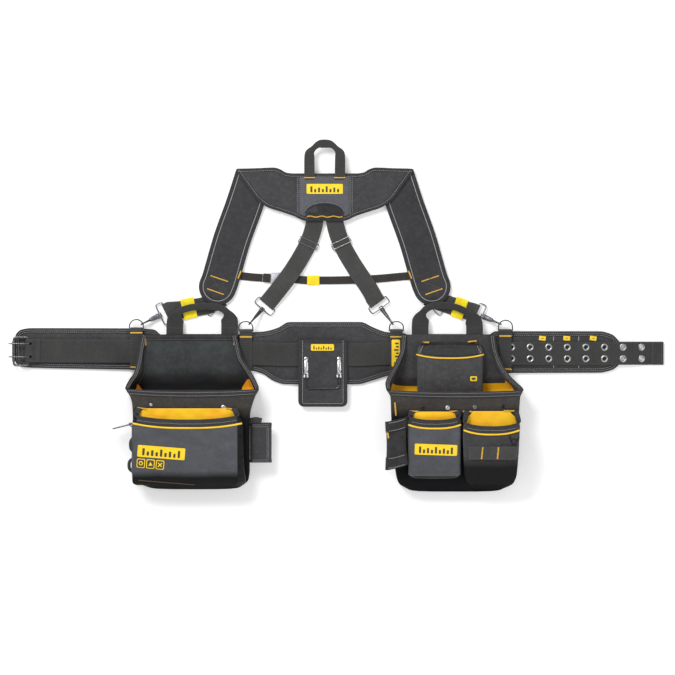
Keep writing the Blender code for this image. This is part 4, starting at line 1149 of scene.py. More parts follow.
def yoke_centre():
    x = YOKE_X + np.concatenate([np.linspace(-55.5, -43, 7), np.linspace(-41.9, 41.9, 37),
                                 np.linspace(43, 55.5, 7)])
    upper = columns(x, 304.0)
    lower = np.column_stack([x, notch(x)])
    soft = Ripple(14, 40)
    body = pad_shape(lower, upper, 17.4, 20.2, 17.6, 19.0, rim=0.5, soft=7.0, across=26,
                     relief=lambda a, b: 0.35 * soft(a, b))
    make("yoke_grey_panel", body, "slate", "suspenders", sharp=0)
    scale_patch("yoke_patch", "suspenders", lambda a, b: 20.3 + 0.35 * soft(a, b), (YOKE_X, 277.4), 80, 22,
                0, 0.0)
    line = YOKE_X + NOTCH_HALF * np.cos(np.radians(np.linspace(176, 4, 40)))
    rim = columns(line, NOTCH_LOW + NOTCH_RISE * np.sqrt(1 - ((line - YOKE_X) / NOTCH_HALF) ** 2), 19.4)
    make("yoke_notch_piping", wire(respaced(rim, 3.0), 1.3), "binding", "suspenders")
    sew("suspenders", "grey_thread", columns(line, rim[:, 1] + 3.6, 19.8))
    x = YOKE_X + np.linspace(-39, 39, 40)
    low = np.maximum(through(both_halves(YOKE_LOWER), x) + 2.0, 211.0)
    body = pad_shape(np.column_stack([x, low]), np.column_stack([x, notch(x) + 1.5]), 17.0, 18.9, 17.0, 18.4,
                     rim=0.5, soft=4.0, across=14)
    make("yoke_strap_anchor", body, "gusset", "suspenders", sharp=0)
    bartack("suspenders", "yellow_thread", (YOKE_X - 39, 216.3, 19.2), (YOKE_X + 39, 216.3, 19.2), 2.4,
            wave=1.2)


def hang_loop():
    """A web handle: two straight legs, folded slantwise into a narrower level top."""
    half = [(-33.7, 306.0, 21.1, 23.0), (-33.7, 318, 21.4, 23.0), (-33.8, 346, 22.0, 22.5),
            (-32.5, 357, 22.4, 20.0), (-25.0, 366.2, 23.0, 12.5), (-16.5, 373.6, 23.8, 14.5),
            (-8.0, 376.5, 24.2, 18.0)]
    keys = np.array(half + [(-x, y, z, w) for x, y, z, w in half[::-1]]) + (YOKE_X, 0, 0, 0)
    keys = respaced(smooth_path(keys, 6), 2.5)
    sections = np.stack([web_section(w, 1.8, 10) for w in keys[:, 3]])
    made = sweep(keys[:, :3], sections, beside(keys[:, :3]))
    make("hang_loop_web", made, "webbing", "top_loop", ["hang_loop"])
    feet = []
    for x in (-59.3, 7.3):
        feet.append(web([(x, 293.0, 18.3), (x, 298.0, 19.5), (x, 304.0, 19.9)], 23.0, 1.8, 2.5))
        bartack("suspenders", "yellow_thread", (x - 12.2, 302.2, 21.0), (x + 12.2, 302.2, 21.0), 2.8)
    make("hang_loop_feet", feet, "webbing", "suspenders")


def shoulder_pad(side):
    """Long pad with a round lower end, bound and piped."""
    centre = smooth_path([(-175, 330), (-179, 317), (-203, 242), (-230.5, 165), (-254.5, 82), (-262, 62)], 10)
    centre = respaced(centre, 4.0)
    half = np.full(len(centre), SHOULDER_HALF)
    way = unit(centre[-1] - centre[-2])
    tail = np.linspace(2.0, 39.3, 16)
    centre = np.vstack([centre, centre[-1] + way * tail[:, None]])
    half = np.concatenate([half, np.sqrt(SHOULDER_HALF ** 2 - tail ** 2)])
    t = tangents(centre)
    normal = np.column_stack([-t[:, 1], t[:, 0]])
    left, right = centre + normal * half[:, None], centre - normal * half[:, None]
    keep = (left[:, 1] < 320.5) | (right[:, 1] < 320.5)
    left, right = left[keep], right[keep]
    left[:, 1] = np.minimum(left[:, 1], 312)
    right[:, 1] = np.minimum(right[:, 1], 320.5)
    left, right = at_side(left, side), at_side(right, side)
    sign = 1 if side == "left" else -1
    soft = Ripple(21 + sign, 45)
    dimple = at_side([(-198.8, 230.6)], side)[0]

    def relief(x, y):
        pit = np.exp(-((x - dimple[0]) ** 2 + (y - dimple[1]) ** 2) / 9.0 ** 2)
        return 0.6 * soft(x, y) - 3.2 * pit

    body = pad_shape(left, right, SHOULDER_LOW, SHOULDER_TOP + 0.3, 5.2, 9.4, rim=6.0, soft=14.0, across=28,
                     relief=relief)
    piece = make(f"shoulder_pad_cover_{side}", body, "shoulder", "suspenders",
                 [f"shoulder_pad_{side}"], sharp=0)
    rim = bind_outline(outline_of(left, right), 6.4, 4.9, 9.9)
    make(f"shoulder_pad_binding_{side}", rim, "binding", "suspenders")
    line = respaced(outline_of(left, right), 3.0, closed=True)
    line = columns(line + inward_of(line) * 7.6, 10.0)
    make(f"shoulder_pad_piping_{side}", wire(line, 0.85, closed=True, sides=8), "grey_thread", "suspenders")
    tacks = [((-277.1, 86.2), (-238.8, 73.3)), ((-285, 57.6), (-247.8, 44.7))]
    corners = []
    for start, end in tacks:
        a, b = at_side([start], side)[0], at_side([end], side)[0]
        bartack("suspenders", "yellow_thread", (*a, 11.5), (*b, 11.5), 2.6)
        corners += [a, b]
    for a, b in ((0, 3), (1, 2)):
        ends = corners[a] * 0.9 + corners[b] * 0.1, corners[b] * 0.9 + corners[a] * 0.1
        sew("suspenders", "dark_thread", [(*ends[0], 11.5), (*ends[1], 11.5)])
    joint = at_side([(-210.2, 97), (-217.2, 80)], side)
    bartack("suspenders", "yellow_thread", (*joint[0], 10.4), (*joint[1], 10.4), 3.0)


def folded_strap(path, fold, way, back):
    """A strap's line that goes on round a wire eye and comes back beneath itself."""
    fold, way = np.asarray(fold, float), np.asarray(way, float)
    turn = EYE_WIRE + 1.35
    bend = [fold + way * turn * sin(a) + upward(turn * cos(a)) for a in np.radians(np.linspace(0, 180, 10))]
    under = [fold - way * (6 + back * t) + upward(-1.9) for t in (0.0, 0.35, 0.7, 1.0)]
    path = np.asarray(path, float)
    return np.vstack([path, [fold - way * 7 + upward(1.6)], bend, under])


def straight_sides(path, way, count):
    """Level directions across a strap, all alike over its last `count` points."""
    sides = beside(path)
    across = left_of(way)
    if across @ sides[max(0, len(sides) - count - 1)] < 0:
        across = -across
    blend = np.clip((np.arange(len(path)) - (len(path) - count - 4)) / 4.0, 0, 1)[:, None]
    return unit(sides * (1 - blend) + across * blend)


def back_strap(side):
    """Strap from the yoke's middle down to the hook at the back of the belt."""
    lay = HookLay(f"{side}_back")
    inner = np.array([(-47, 212, 8.8), (-51, 190, 8.0), (-62, 158, 6.2), (-79, 126, 6.6), (-99, 94, 11.0),
                      (-119, 67, 11.6), (-131.5, 51, 10.4)])
    if side == "right":
        inner[:, 2] = np.minimum(inner[:, 2], 8.8)
        inner = mirrored(inner)
        inner[-2:, :2] = (66.0, 67.5), (75.6, 52.0)
    inner[0] = inner[0] + (inner[0] - inner[1]) * 0.25
    smooth = smooth_path(inner, 6)
    whole = folded_strap(smooth, lay.fold, lay.way, 10.0)
    sides = straight_sides(whole, lay.way, len(whole) - len(smooth))
    strap = sweep(whole, web_section(38.5, 1.9, 10), sides)
    make(f"back_strap_web_{side}", strap, "elastic", "suspenders", [f"back_strap_{side}"])


def back_adjuster(side):
    """Sliding buckle: two rounded cross bars joined by side cheeks."""
    middle = at_side([(-61.5, 158, 6.25)], side)[0]
    way = unit((-0.42 if side == "left" else 0.42, -0.905, 0))
    across = left_of(way)
    made = []
    for reach in (-6.2, 6.2):
        for rise in (-2.6, 2.6):
            ends = [middle + way * reach + across * u + upward(rise) for u in (-22, -10, 10, 22)]
            made.append(sweep(smooth_path(ends, 4), oval_section(3.2, 1.9), way))
    for u in (-21.8, 21.8):
        made.append(box_shape(middle + across * u, (1.1, 3.1, 7.6), (across, UP, way), 0.8))
    make(f"back_adjuster_slider_{side}", made, "steel", f"adjuster_{side}",
         [f"back_adjuster_{side}"])


STRAP_LOW = 2.8
FRONT_STRAPS = {
    "left": dict(line=[(-250, 38), (-262, 32), (-280, 22.6), (-300, 17.9), (-325, 13.9), (-348, 10.3)],
                 keeper=(-325.5, 14.05), way=(-0.98, -0.2), length=30,
                 slider=[(-287, 6.5, 1.6), (-282.5, -0.6, 2.4), (-277, -1.6, 2.6), (-267, 8.2, 2.6),
                         (-262.5, 13.5, 3.0)]),
    "right": dict(line=[(200, 40), (212, 35), (228, 29), (246, 23), (268, 15.5), (284, 10.8)],
                  keeper=(271.5, 14.6), way=(0.945, -0.327), length=27,
                  slider=[(211.5, 16.5, 3.0), (217, 8.2, 2.6), (226.5, -0.6, 2.6), (231.5, 1.6, 2.4),
                          (238, 11, 1.4)]),
}


def front_strap(side):
    """A short strap from under the shoulder pad to its hook, with a yellow keeper and a wire slider."""
    lay, parts = HookLay(f"{side}_front"), FRONT_STRAPS[side]
    smooth = smooth_path([(x, y, STRAP_LOW) for x, y in parts["line"]], 6)
    whole = folded_strap(smooth, lay.fold, lay.way, 3.0)
    whole[:, 2] = np.maximum(whole[:, 2], 1.2)
    sides = straight_sides(whole, lay.way, len(whole) - len(smooth))
    strap = sweep(whole, web_section(39.5, 1.7, 10), sides)
    make(f"front_strap_web_{side}", strap, "elastic", "suspenders", [f"front_strap_{side}"])
    keeper, way = parts["keeper"], parts["way"]
    band(f"front_keeper_band_{side}", keeper, way, 43.0, parts["length"], 1.6, 3.8, f"keeper_{side}",
         f"front_keeper_{side}")
    make(f"front_slider_wire_{side}", wire(smooth_path(parts["slider"], 5), 1.3), "steel", "suspenders")
    if side == "right":
        way = unit((*way, 0))
        for reach in (20.0, 24.0):
            middle = np.array((*keeper, 3.9)) + way * reach
            sew("suspenders", "light_thread", [middle - left_of(way) * 18, middle + left_of(way) * 18],
                radius=0.6)


def band(name, middle, way, width, length, low, high, body, node):
    """A band of yellow elastic wrapped round a strap."""
    way = unit((*way, 0))
    across = left_of(way)
    centre = np.array((*middle, (low + high) / 2))
    outline = rounded_box(width / 2 + 0.9, (high - low) / 2 + 0.9, 1.2, 4)
    ring = [centre + across * u + upward(v) for u, v in outline]
    path = respaced(ring, 2.0, closed=True)
    make(name, sweep(path, web_section(length, 1.1, 8), way, closed=True), "keeper", body,
         [node])


def chest_strap():
    """Two narrow webs joined by a side release buckle: socket on the left, plug on the right."""
    z = 2.5
    make("chest_web_left", web(smooth_path([(-232, 88, z), (-212, 86, z), (-178, 82.5, z), (-146, 81, z)]),
                               17.5, 1.6), "chest", "suspenders", ["chest_strap_left"])
    make("chest_web_right", web(smooth_path([(-92, 78.5, z), (-62, 76.3, z), (4, 76.3, z), (80, 79, z),
                                             (172, 87, z)]), 17.5, 1.6),
         "chest", "chest_right", ["chest_strap_right"])
    make("chest_fold_left", web([(-161, 81.8, 4.4), (-145, 81.0, 4.4)], 19.5, 1.8, 3.0), "chest",
         "suspenders")
    sew("suspenders", "light_thread", [(-163, 74, 3.6), (-162, 91, 3.6)], length=2.0, gap=0.7, radius=0.7)
    band("chest_keeper_band", (-51, 76.3), (1, 0), 19.0, 27, 1.6, 3.4, "chest_slide_keeper", "chest_keeper")
    socket = slab_outline([(-143.7, 69), (-141.5, 67.5), (-121, 67.5), (-119.6, 70), (-117.5, 70),
                           (-115.2, 68.4), (-115.2, 92.6), (-117.5, 91), (-119.6, 91), (-121, 93.5),
                           (-141.5, 93.5), (-143.7, 92)], 0.5, 9.0, 1.0)
    ribs = [box_shape((x, 80.5, 9.1), (0.7, 8.5, 0.4), AXES, 0.3) for x in (-138, -134, -130, -126)]
    make("chest_socket_body", [socket] + ribs, "plastic", "suspenders",
         ["chest_buckle_socket"])
    plug = slab_outline([(-114.8, 69.4), (-112, 68.5), (-96, 68.5), (-92, 71.5), (-92, 89.5), (-96, 92.5),
                         (-112, 92.5), (-114.8, 91.6)], 0.7, 8.7, 1.0)
    tongue = box_shape((-125.5, 80.5, 4.7), (9.0, 11.0, 1.8), ((0, 1, 0), (1, 0, 0), UP), 0.6)
    ridges = [box_shape((x, 80.5, 8.8), (0.7, 9.0, 0.4), AXES, 0.3) for x in (-108, -104, -100, -96)]
    make("chest_plug_body", [plug, tongue] + ridges, "plastic", "chest_right",
         ["chest_buckle_plug"])


# ---------------------------------------------------------------- bags

def across_row(count, x0, x1, crowding):
    """x samples across each row, closer together at the corners."""
    share = crowding * (0.5 - 0.5 * np.cos(pi * np.linspace(0, 1, count)))
    share = share + (1 - crowding) * np.linspace(0, 1, count)
    return x0[:, None] + (x1 - x0)[:, None] * share[None]


class Bag:
    """An open bag as a run of stations (y, x0, x1, z0, z1) from its top edge down.

    Above `rim` only the back and the leaning gussets stand; below it the bag is a closed sleeve.
    """

    def __init__(self, stations, rim, corner, crown, fold, seed, wrinkle=1.0, size=38.0, smile=0.0,
                 wall=None):
        rows = np.array(stations, float)
        self.knots = np.column_stack([-rows[:, 0], rows[:, 1:]])
        self.top, self.rim, self.low = rows[0, 0], rows[rim, 0], rows[-1, 0]
        self.corner, self.crown, self.fold, self.smile = corner, crown, fold, smile
        self.wrinkle, self.noise = wrinkle, Ripple(seed, size)
        self.back_noise = Ripple(seed + 50, size * 1.2)
        self.wall = wall                # height of the surface that a pocket is sewn to

    def at(self, y):
        """x0, x1, z0, z1 at each y."""
        return through(self.knots, -np.atleast_1d(np.asarray(y, float))).T

    def front(self, x, y):
        """Height of the front wall's outer face."""
        x, y = np.broadcast_arrays(np.asarray(x, float), np.asarray(y, float))
        x0, x1, z0, z1 = (v.reshape(x.shape) for v in self.at(y.ravel()))
        half = (x1 - x0) / 2
        d = np.clip(np.minimum(x - x0, x1 - x), 0, None)
        r = np.minimum(self.corner, (z1 - z0) * 0.45)
        drop = r - np.sqrt(np.maximum(0, r ** 2 - np.maximum(0, r - d) ** 2))
        u = np.clip((x - (x0 + x1) / 2) / half, -1, 1)
        inside = np.clip(d / 20, 0, 1)
        near = np.clip((self.rim - y) / 25, 0, 1) * np.clip((y - self.low) / 30, 0, 1)
        crown = self.crown * (1 - u ** 2) * ease((y - self.low) / 50)
        return z1 - drop + crown + self.wrinkle * self.noise(x, y) * inside * near

    def lean(self, y):
        """How far the gusset's foot stands in from its top edge."""
        share = np.clip((self.top - np.asarray(y, float)) / (self.top - self.rim), 0, 1)
        start, end = self.fold
        return start + (end - start) * ease(share)

    def back(self, x, y):
        """Height of the back's inner face, and of the leaning gussets beside it."""
        x, y = np.broadcast_arrays(np.asarray(x, float), np.asarray(y, float))
        x0, x1, z0, z1 = (v.reshape(x.shape) for v in self.at(y.ravel()))
        lean = np.maximum(self.lean(y), 0.5)
        d = np.minimum(x - x0, x1 - x)
        rise = np.clip(1 - d / lean, 0, 1)
        soft = np.maximum(0.5 * self.wrinkle * self.back_noise(x, y) * np.clip(d / 20, 0, 1), -0.2)
        if self.wall:
            floor, soft = self.wall(x, y) + 1.0, 0.0
        else:
            floor = z0 + 2.2
        return floor + np.maximum(z1 - floor, 0) * rise ** 1.15 + soft

    def tray(self, wall=1.4, count=56, step=4.0):
        """Back and gussets of the mouth, one sheet with thickness."""
        y = np.linspace(self.top, self.rim - 1.5, int((self.top - self.rim) / step) + 5)
        x0, x1, z0, _ = self.at(y)
        tuck = 0.3 + 2.5 * np.exp(-((np.minimum(y, self.rim) - self.rim) / 7) ** 2) * (self.wall is not None)
        x = across_row(count, x0 + tuck, x1 - tuck, 0.75)
        inner = np.stack([x, np.broadcast_to(y[:, None], x.shape), self.back(x, y[:, None])], axis=-1)
        outer = inner.copy()
        outer[..., 2] = np.minimum(inner[..., 2] - wall, np.maximum(z0[:, None], inner[..., 2] - wall * 2.2))
        outer[:, 0, 0] -= 0.6
        outer[:, -1, 0] += 0.6
        return tube(np.concatenate([inner, outer[:, ::-1]], axis=1))

    def sleeve(self, wall=1.6, step=4.0, count=64):
        """The closed lower part, a thin-walled sock open at the rim."""
        y = np.linspace(self.rim, self.low, int((self.rim - self.low) / step) + 2)
        outer = self.rings(y, 0.0, count)
        inner = self.rings(np.clip(y, self.low + 2 * wall + 2, None), wall, count)
        return tube(np.concatenate([self.cap(inner[-1])[::-1], inner[::-1], outer, self.cap(outer[-1])]))

    def lining(self, gap=1.7, wall=0.8, step=6.0, count=48):
        """A shorter sleeve inside the sock."""
        top, foot = self.rim - 5.0, self.low + 16.0
        y = np.linspace(top, foot, int((top - foot) / step) + 2)
        inner, outer = self.rings(y, gap + wall, count), self.rings(y, gap, count)
        return tube(np.concatenate([inner[::-1], outer]), closed=True)

    def cap(self, ring):
        """Rings that close the sleeve's foot."""
        middle = ring.mean(axis=0)
        made = []
        for share, drop in ((0.93, 1.8), (0.8, 3.2), (0.5, 4.0), (0.12, 4.2)):
            step = middle + (ring - middle) * share
            step[:, 1] = ring[:, 1] - (drop if self.low < -300 else drop * 0.5)
            made.append(step)
        return np.array(made)

    def rings(self, y, inset_by, count):
        """Closed loops round the sleeve at each y: front, right side, foot and left side."""
        x0, x1, z0, _ = self.at(y)
        smile = self.smile * ease(1 - (self.rim - y) / 40.0)
        if self.wall is not None:
            tuck = 2.5 * np.exp(-((y - self.rim) / 7) ** 2)
            x0, x1 = x0 + tuck, x1 - tuck
        top = across_row(count, x0 + inset_by, x1 - inset_by, 0.7)
        u = (top - ((x0 + x1) / 2)[:, None]) / ((x1 - x0) / 2)[:, None]
        ty = y[:, None] - smile[:, None] * (1 - np.abs(u) ** 2.6)
        tz = self.front(np.clip(top, x0[:, None] + inset_by, x1[:, None] - inset_by), y[:, None]) - inset_by
        tz = np.maximum(tz, (z0 + inset_by + 1.0)[:, None])
        sides = []
        for x, end in ((x1 - inset_by, -1), (x0 + inset_by, 0)):
            share = np.linspace(0, 1, 11)[1:-1]
            zs = tz[:, end][:, None] + (z0 + inset_by + 2.0 - tz[:, end])[:, None] * share[None]
            if end == 0:
                zs = zs[:, ::-1]
            sides.append(np.broadcast_arrays(x[:, None], y[:, None], zs))
        low_share = np.linspace(1, 0, 15)
        lx = x0[:, None] + inset_by + 1.0 + (x1 - x0 - 2 * inset_by - 2.0)[:, None] * low_share[None]
        lz = np.broadcast_to((z0 + inset_by)[:, None], lx.shape)
        ly = np.broadcast_to(y[:, None], lx.shape)
        right, left = sides
        parts = zip((top, ty, tz), right, (lx, ly, lz), left)
        return np.stack([np.concatenate(part, axis=1) for part in parts], axis=-1)

    def edge(self, end, step=4.0):
        """A gusset's free edge from the top corner to the mouth's corner."""
        y = np.linspace(self.top, self.rim, int((self.top - self.rim) / step) + 2)
        x0, x1, _, z1 = self.at(y)
        return np.column_stack([x0 if end == 0 else x1, y, z1])

    def rim_line(self, count=60):
        """The front wall's top edge."""
        x0, x1, _, _ = (v[0] for v in self.at(self.rim))
        x = np.linspace(x0 + 0.5, x1 - 0.5, count)
        u = (x - (x0 + x1) / 2) / ((x1 - x0) / 2)
        near = np.clip(x, x0 + 0.6 * self.corner, x1 - 0.6 * self.corner)
        return np.column_stack([x, self.rim - self.sag(u), self.front(near, self.rim)])

    def sag(self, u):
        """How far the mouth's front edge hangs below its corners, across from -1 to 1."""
        return self.smile * (1 - np.abs(u) ** 2.6)


def draped(height, outline, thick, lift=0.0, rings=(1.0, 0.985, 0.8, 0.6, 0.4, 0.2, 0.04), soft=0.5,
           step=2.5):
    """A patch laid on a surface: its outline in plan, shrunk ring by ring to its middle."""
    outline = respaced(outline, step, closed=True)
    middle = outline.mean(axis=0)
    layers = []
    for share in rings:
        line = middle + (outline - middle) * share
        z = height(line[:, 0], line[:, 1]) + lift + (thick - (soft * thick if share == 1.0 else 0))
        layers.append(np.column_stack([line, z]))
    foot = np.column_stack([outline, height(outline[:, 0], outline[:, 1]) + lift - 0.6])
    middle_foot = middle + (outline - middle) * 0.04
    under = np.column_stack([middle_foot, height(middle_foot[:, 0], middle_foot[:, 1]) + lift - 0.8])
    return tube(np.array([under, foot] + layers))


def sheet_on(height, first, second, thick=0.8, lift=0.3, count=14):
    """A cloth laid on a surface between two edge lines in plan."""
    first, second = np.asarray(first, float), np.asarray(second, float)
    share = np.linspace(0, 1, count)
    plan = first[:, None] * (1 - share[None, :, None]) + second[:, None] * share[None, :, None]
    z = height(plan[..., 0], plan[..., 1]) + lift
    upper = np.concatenate([plan, (z + thick)[..., None]], axis=-1)
    lower = np.concatenate([plan, z[..., None]], axis=-1)
    return tube(np.concatenate([upper, lower[:, ::-1]], axis=1))


def level(height):
    """A flat surface as a height function of x and y."""
    return lambda x, y: np.full(np.shape(x), height)


def on(height, points, lift=0.0):
    """Points of a plan line raised onto a surface."""
    points = np.asarray(points, float)
    return np.column_stack([points, height(points[:, 0], points[:, 1]) + lift])


def rect(centre, half_x, half_y, turn, radius=1.2, steps=4):
    """Outline of a turned rectangle with round corners."""
    c, s = cos(radians(turn)), sin(radians(turn))
    return np.array([(centre[0] + x * c - y * s, centre[1] + x * s + y * c)
                     for x, y in rounded_box(half_x, half_y, radius, steps)])


def scale_patch(name, body, height, centre, length, width, turn, lift=0.2, mark=1.25):
    """Yellow patch with a plain rule's ticks: a generic mark for a tool maker's goods."""
    make(name, draped(height, rect(centre, length / 2, width / 2, turn, 1.6), 0.9, lift), "patch", body)
    c, s = cos(radians(turn)), sin(radians(turn))
    marks = []
    count = max(5, int(length / (width * 0.42)))
    pitch = length * 0.84 / count
    for i in range(count):
        tall = 0.62 if i % 4 == 0 else (0.50 if i % 2 == 0 else 0.36)
        u = -length * 0.42 + pitch * (i + 0.5)
        v = -width * 0.36 + width * tall / 2
        spot = (centre[0] + u * c - v * s, centre[1] + u * s + v * c)
        marks.append(draped(height, rect(spot, pitch * 0.27, width * tall / 2, turn, 0.4, 2), mark, lift,
                            (1.0, 0.9, 0.05), 0.2))
    make(name + "_ticks", marks, "mark", body)


def rivet(spot, radius=5.4, height=1.8):
    """Domed rivet head with a dimple in its middle."""
    profile = [(radius, -0.6), (radius, 0.3), (radius * 0.9, height * 0.6), (radius * 0.62, height * 0.92),
               (radius * 0.5, height * 0.8), (radius * 0.3, height * 0.85), (0.2, height)]
    return domed(profile, spot)


def bag_edges(bag, name, body, rim_rows=(2.8, 10.4), edge_rows=(2.4, 7.0), rim_width=12.5, width=9.2,
              thick=3.4, round_by=3):
    """One binding down a gusset's edge, along the mouth's front edge, and up the other gusset."""
    sides = []
    for end in (0, 1):
        line = bag.edge(end, 2.0)
        rise = line[:, 2] - bag.at(line[:, 1])[2] - 2
        sign = 1 if end == 0 else -1
        inward = np.column_stack([sign * np.maximum(bag.lean(line[:, 1]), 6), np.zeros(len(line)),
                                  -rise * 0.35])
        sides.append((line, unit(inward)))
    rim = bag.rim_line()
    below = rim - (0, 0.75 * rim_width, 0)
    top, foot = (bag.at(y)[:2, 0] for y in (bag.rim, bag.rim - 0.75 * rim_width))
    below[:, 0] = np.interp(rim[:, 0], top, foot)
    below[:, 2] = bag.front(below[:, 0], below[:, 1])
    (left, left_in), (right, right_in) = sides
    path = np.vstack([left, rim, right[::-1]])
    kind = np.repeat([0.0, 1.0, 0.0], [len(left), len(rim), len(right)])   # 1 on the rim, 0 on the gussets
    inward = np.vstack([left_in, unit(below - rim), right_in[::-1]])
    loop = respaced(np.column_stack([path, inward, kind]), 2.0)
    for _ in range(round_by):
        loop[1:-1] = (loop[:-2] + 2 * loop[1:-1] + loop[2:]) / 4
    path, kind = loop[:, :3], loop[:, 6]
    along = tangents(path)
    inward = loop[:, 3:6] - (0, 0, 1.0) * (4 * kind * (1 - kind))[:, None]
    inward = unit(inward - along * np.sum(inward * along, axis=1, keepdims=True) * (1 - kind[:, None]))
    up = unit(np.cross(along, inward))
    section = np.array([cuff_section(width + (rim_width - width) * k, -thick / 2, thick / 2) for k in kind])
    rings = path[:, None] + inward[:, None] * section[..., :1] + up[:, None] * section[..., 1:]
    run = lengths(path)
    uv = np.stack(np.broadcast_arrays(run[:, None], section[..., 0]), axis=-1)
    make(name, tube(rings, uv=uv), "binding", body)
    reach = thick / 2 + 0.15
    for d in rim_rows:
        on_rim = kind > 0.95
        row = (path + inward * d - up * reach)[on_rim]
        sew(body, "grey_thread", row, up=-up[on_rim])
    for d in edge_rows:
        row = path + inward * d + up * reach
        first, last = np.flatnonzero(kind > 0.2)[[0, -1]]
        for part in (slice(1, first), slice(last + 1, -1)):
            sew(body, "grey_thread", row[part], up=up[part])


def gusset_seams(bag, name, body):
    """Corded seams where the gussets meet the back."""
    made = []
    y = np.linspace(bag.top - 12, bag.rim - 2, 40)
    x0, x1, _, _ = bag.at(y)
    for x in (x0 + bag.lean(y) + 1.0, x1 - bag.lean(y) - 1.0):
        line = np.column_stack([x, y, bag.back(x, y) + 0.3])
        made.append(wire(respaced(line, 3.0), 1.1, sides=8))
        step = np.where(x < (x0 + x1) / 2, 3.0, -3.0)
        sew(body, "dark_thread", np.column_stack([x + step, y, bag.back(x + step, y) + 0.3]))
    make(name, made, "binding", body)


# stations of each bag from its top edge down: y, left x, right x, low z, high z
LEFT_STATIONS = [(-43.5, -427.6, -221.4, 16.2, 19.6), (-66.4, -431, -215.5, 16.2, 31),
                 (-92, -434.6, -209.5, 16.2, 43), (-127, -442.5, -187, 16.2, 60), (-145, -454, -177, 9, 68),
                 (-163.2, -461, -170.5, 2, 75), (-178, -452.5, -178, 0.6, 76), (-195, -447.5, -184, 0.6, 76),
                 (-220, -446, -190, 0.4, 74), (-276, -446, -191, 0.4, 70), (-342, -446, -191, 0.8, 58),
                 (-364, -440, -194, 3, 48), (-374, -425, -204, 8, 40)]
LEFT_POCKET = [(-204, -436, -219, 75.6, 80), (-212, -439, -215.5, 75, 86.5), (-220, -442, -211.5, 74.6, 93),
               (-231, -445, -206.5, 74.2, 97.5), (-242, -446, -204, 73.4, 99), (-297, -447, -203, 69.2, 96),
               (-342, -448, -201, 58.8, 86), (-366, -441, -198, 48.6, 70), (-379, -412, -212, 42, 54)]
RIGHT_STATIONS = [(-43.5, 145, 347.5, 16.2, 19.6), (-77, 142, 352, 16.2, 36), (-104, 131, 361, 16.2, 49),
                  (-136, 114, 381, 16.2, 63.5), (-150, 108.5, 395, 9, 70), (-166, 111, 409, 2, 76),
                  (-180, 119, 403, 0.6, 77), (-230, 121, 400, 0.4, 74), (-300, 126, 399, 0.4, 68),
                  (-350, 131, 396, 0.8, 60), (-370, 137, 389, 3, 50), (-385, 160, 362, 8, 36)]
INNER_POCKET = [(-60, 186, 314, 18.9, 23), (-67, 181.5, 318.5, 18.9, 29.5), (-76, 178.5, 321.5, 18.9, 36),
                (-88, 178, 322, 18.9, 40), (-110, 178, 322, 18.9, 41), (-170, 178, 322, 18.9, 36),
                (-192, 186, 316, 18.9, 26)]
GREY_POCKET = [(-211, 161, 268, 76, 80), (-217, 159, 270, 75.6, 85), (-223, 157, 271.5, 75.2, 90.5),
               (-234, 156, 273, 74.5, 95.5), (-245, 156, 273, 73.6, 97), (-300, 157, 272, 68.6, 92),
               (-345, 158, 271, 62, 82), (-355, 164, 266, 60.8, 74)]
WIDE_POCKET = [(-210, 281, 397, 76.1, 80), (-222, 278.5, 400, 75.4, 89), (-235, 276.5, 402, 74.6, 99),
               (-248, 276.5, 401, 73.5, 104), (-262, 276.5, 400, 72.2, 105), (-305, 278, 398, 68.4, 98),
               (-345, 280, 395, 62.4, 82), (-366, 285, 389, 50, 66), (-377, 298, 372, 42, 50)]


def bag_pieces(bag, name, body, node, outer, inner, lining):
    """The bag's sheets: back with gussets, lower sleeve, and the lining in both."""
    make(f"{name}_back", bag.tray(), inner, body, sharp=70)
    make(f"{name}_shell", bag.sleeve(), outer, body, [node], sharp=70)
    make(f"{name}_lining", bag.lining(), lining, body, sharp=70)


def pocket_mouth(bag, name, body):
    """Yellow lining on the pocket's back, between its folded gussets."""
    y = np.linspace(bag.top - 1.0, bag.rim - bag.smile - 10.0, 18)
    x0, x1, _, _ = bag.at(y)
    lean = bag.lean(y)
    first = np.column_stack([x0 + lean - 1.0, y])
    second = np.column_stack([x1 - lean + 1.0, y])
    make(name, sheet_on(bag.back, first, second, 0.8, 1.1, 50), "mouth", body, sharp=0)


def piping(bag, drop, radius=1.7, spread=2.0):
    """A cord of piping across the front, a little below the mouth's edge."""
    x0, x1, _, _ = (v[0] for v in bag.at(bag.rim - drop))
    x = np.linspace(x0 + spread, x1 - spread, 70)
    u = (x - (x0 + x1) / 2) / ((x1 - x0) / 2)
    y = bag.rim - drop - bag.sag(u)
    return wire(respaced(np.column_stack([x, y, bag.front(x, y) + 1.3]), 2.5), radius, sides=12)


def tunnel(name, body, x, upper, lower):
    """The web sleeve on a pouch's back that the belt runs through."""
    line = [(lower - 0.75, 9.0), (lower - 0.75, 15.5), (lower + 1, 17.0), (-80, 17.0), (upper - 1, 17.0),
            (upper + 0.75, 15.5), (upper + 0.75, 9.0), (upper + 0.75, 2.6), (upper - 1.2, 0.8), (-80, 0.8),
            (lower + 1.2, 0.8), (lower - 0.75, 2.6)]
    middle, half = (x[0] + x[1]) / 2, (x[1] - x[0]) / 2
    path = respaced([(middle, y, z) for y, z in line], 3.0, closed=True)
    make(name, sweep(path, web_section(2 * half, 1.5, 24), (1, 0, 0), closed=True), "gusset", body)


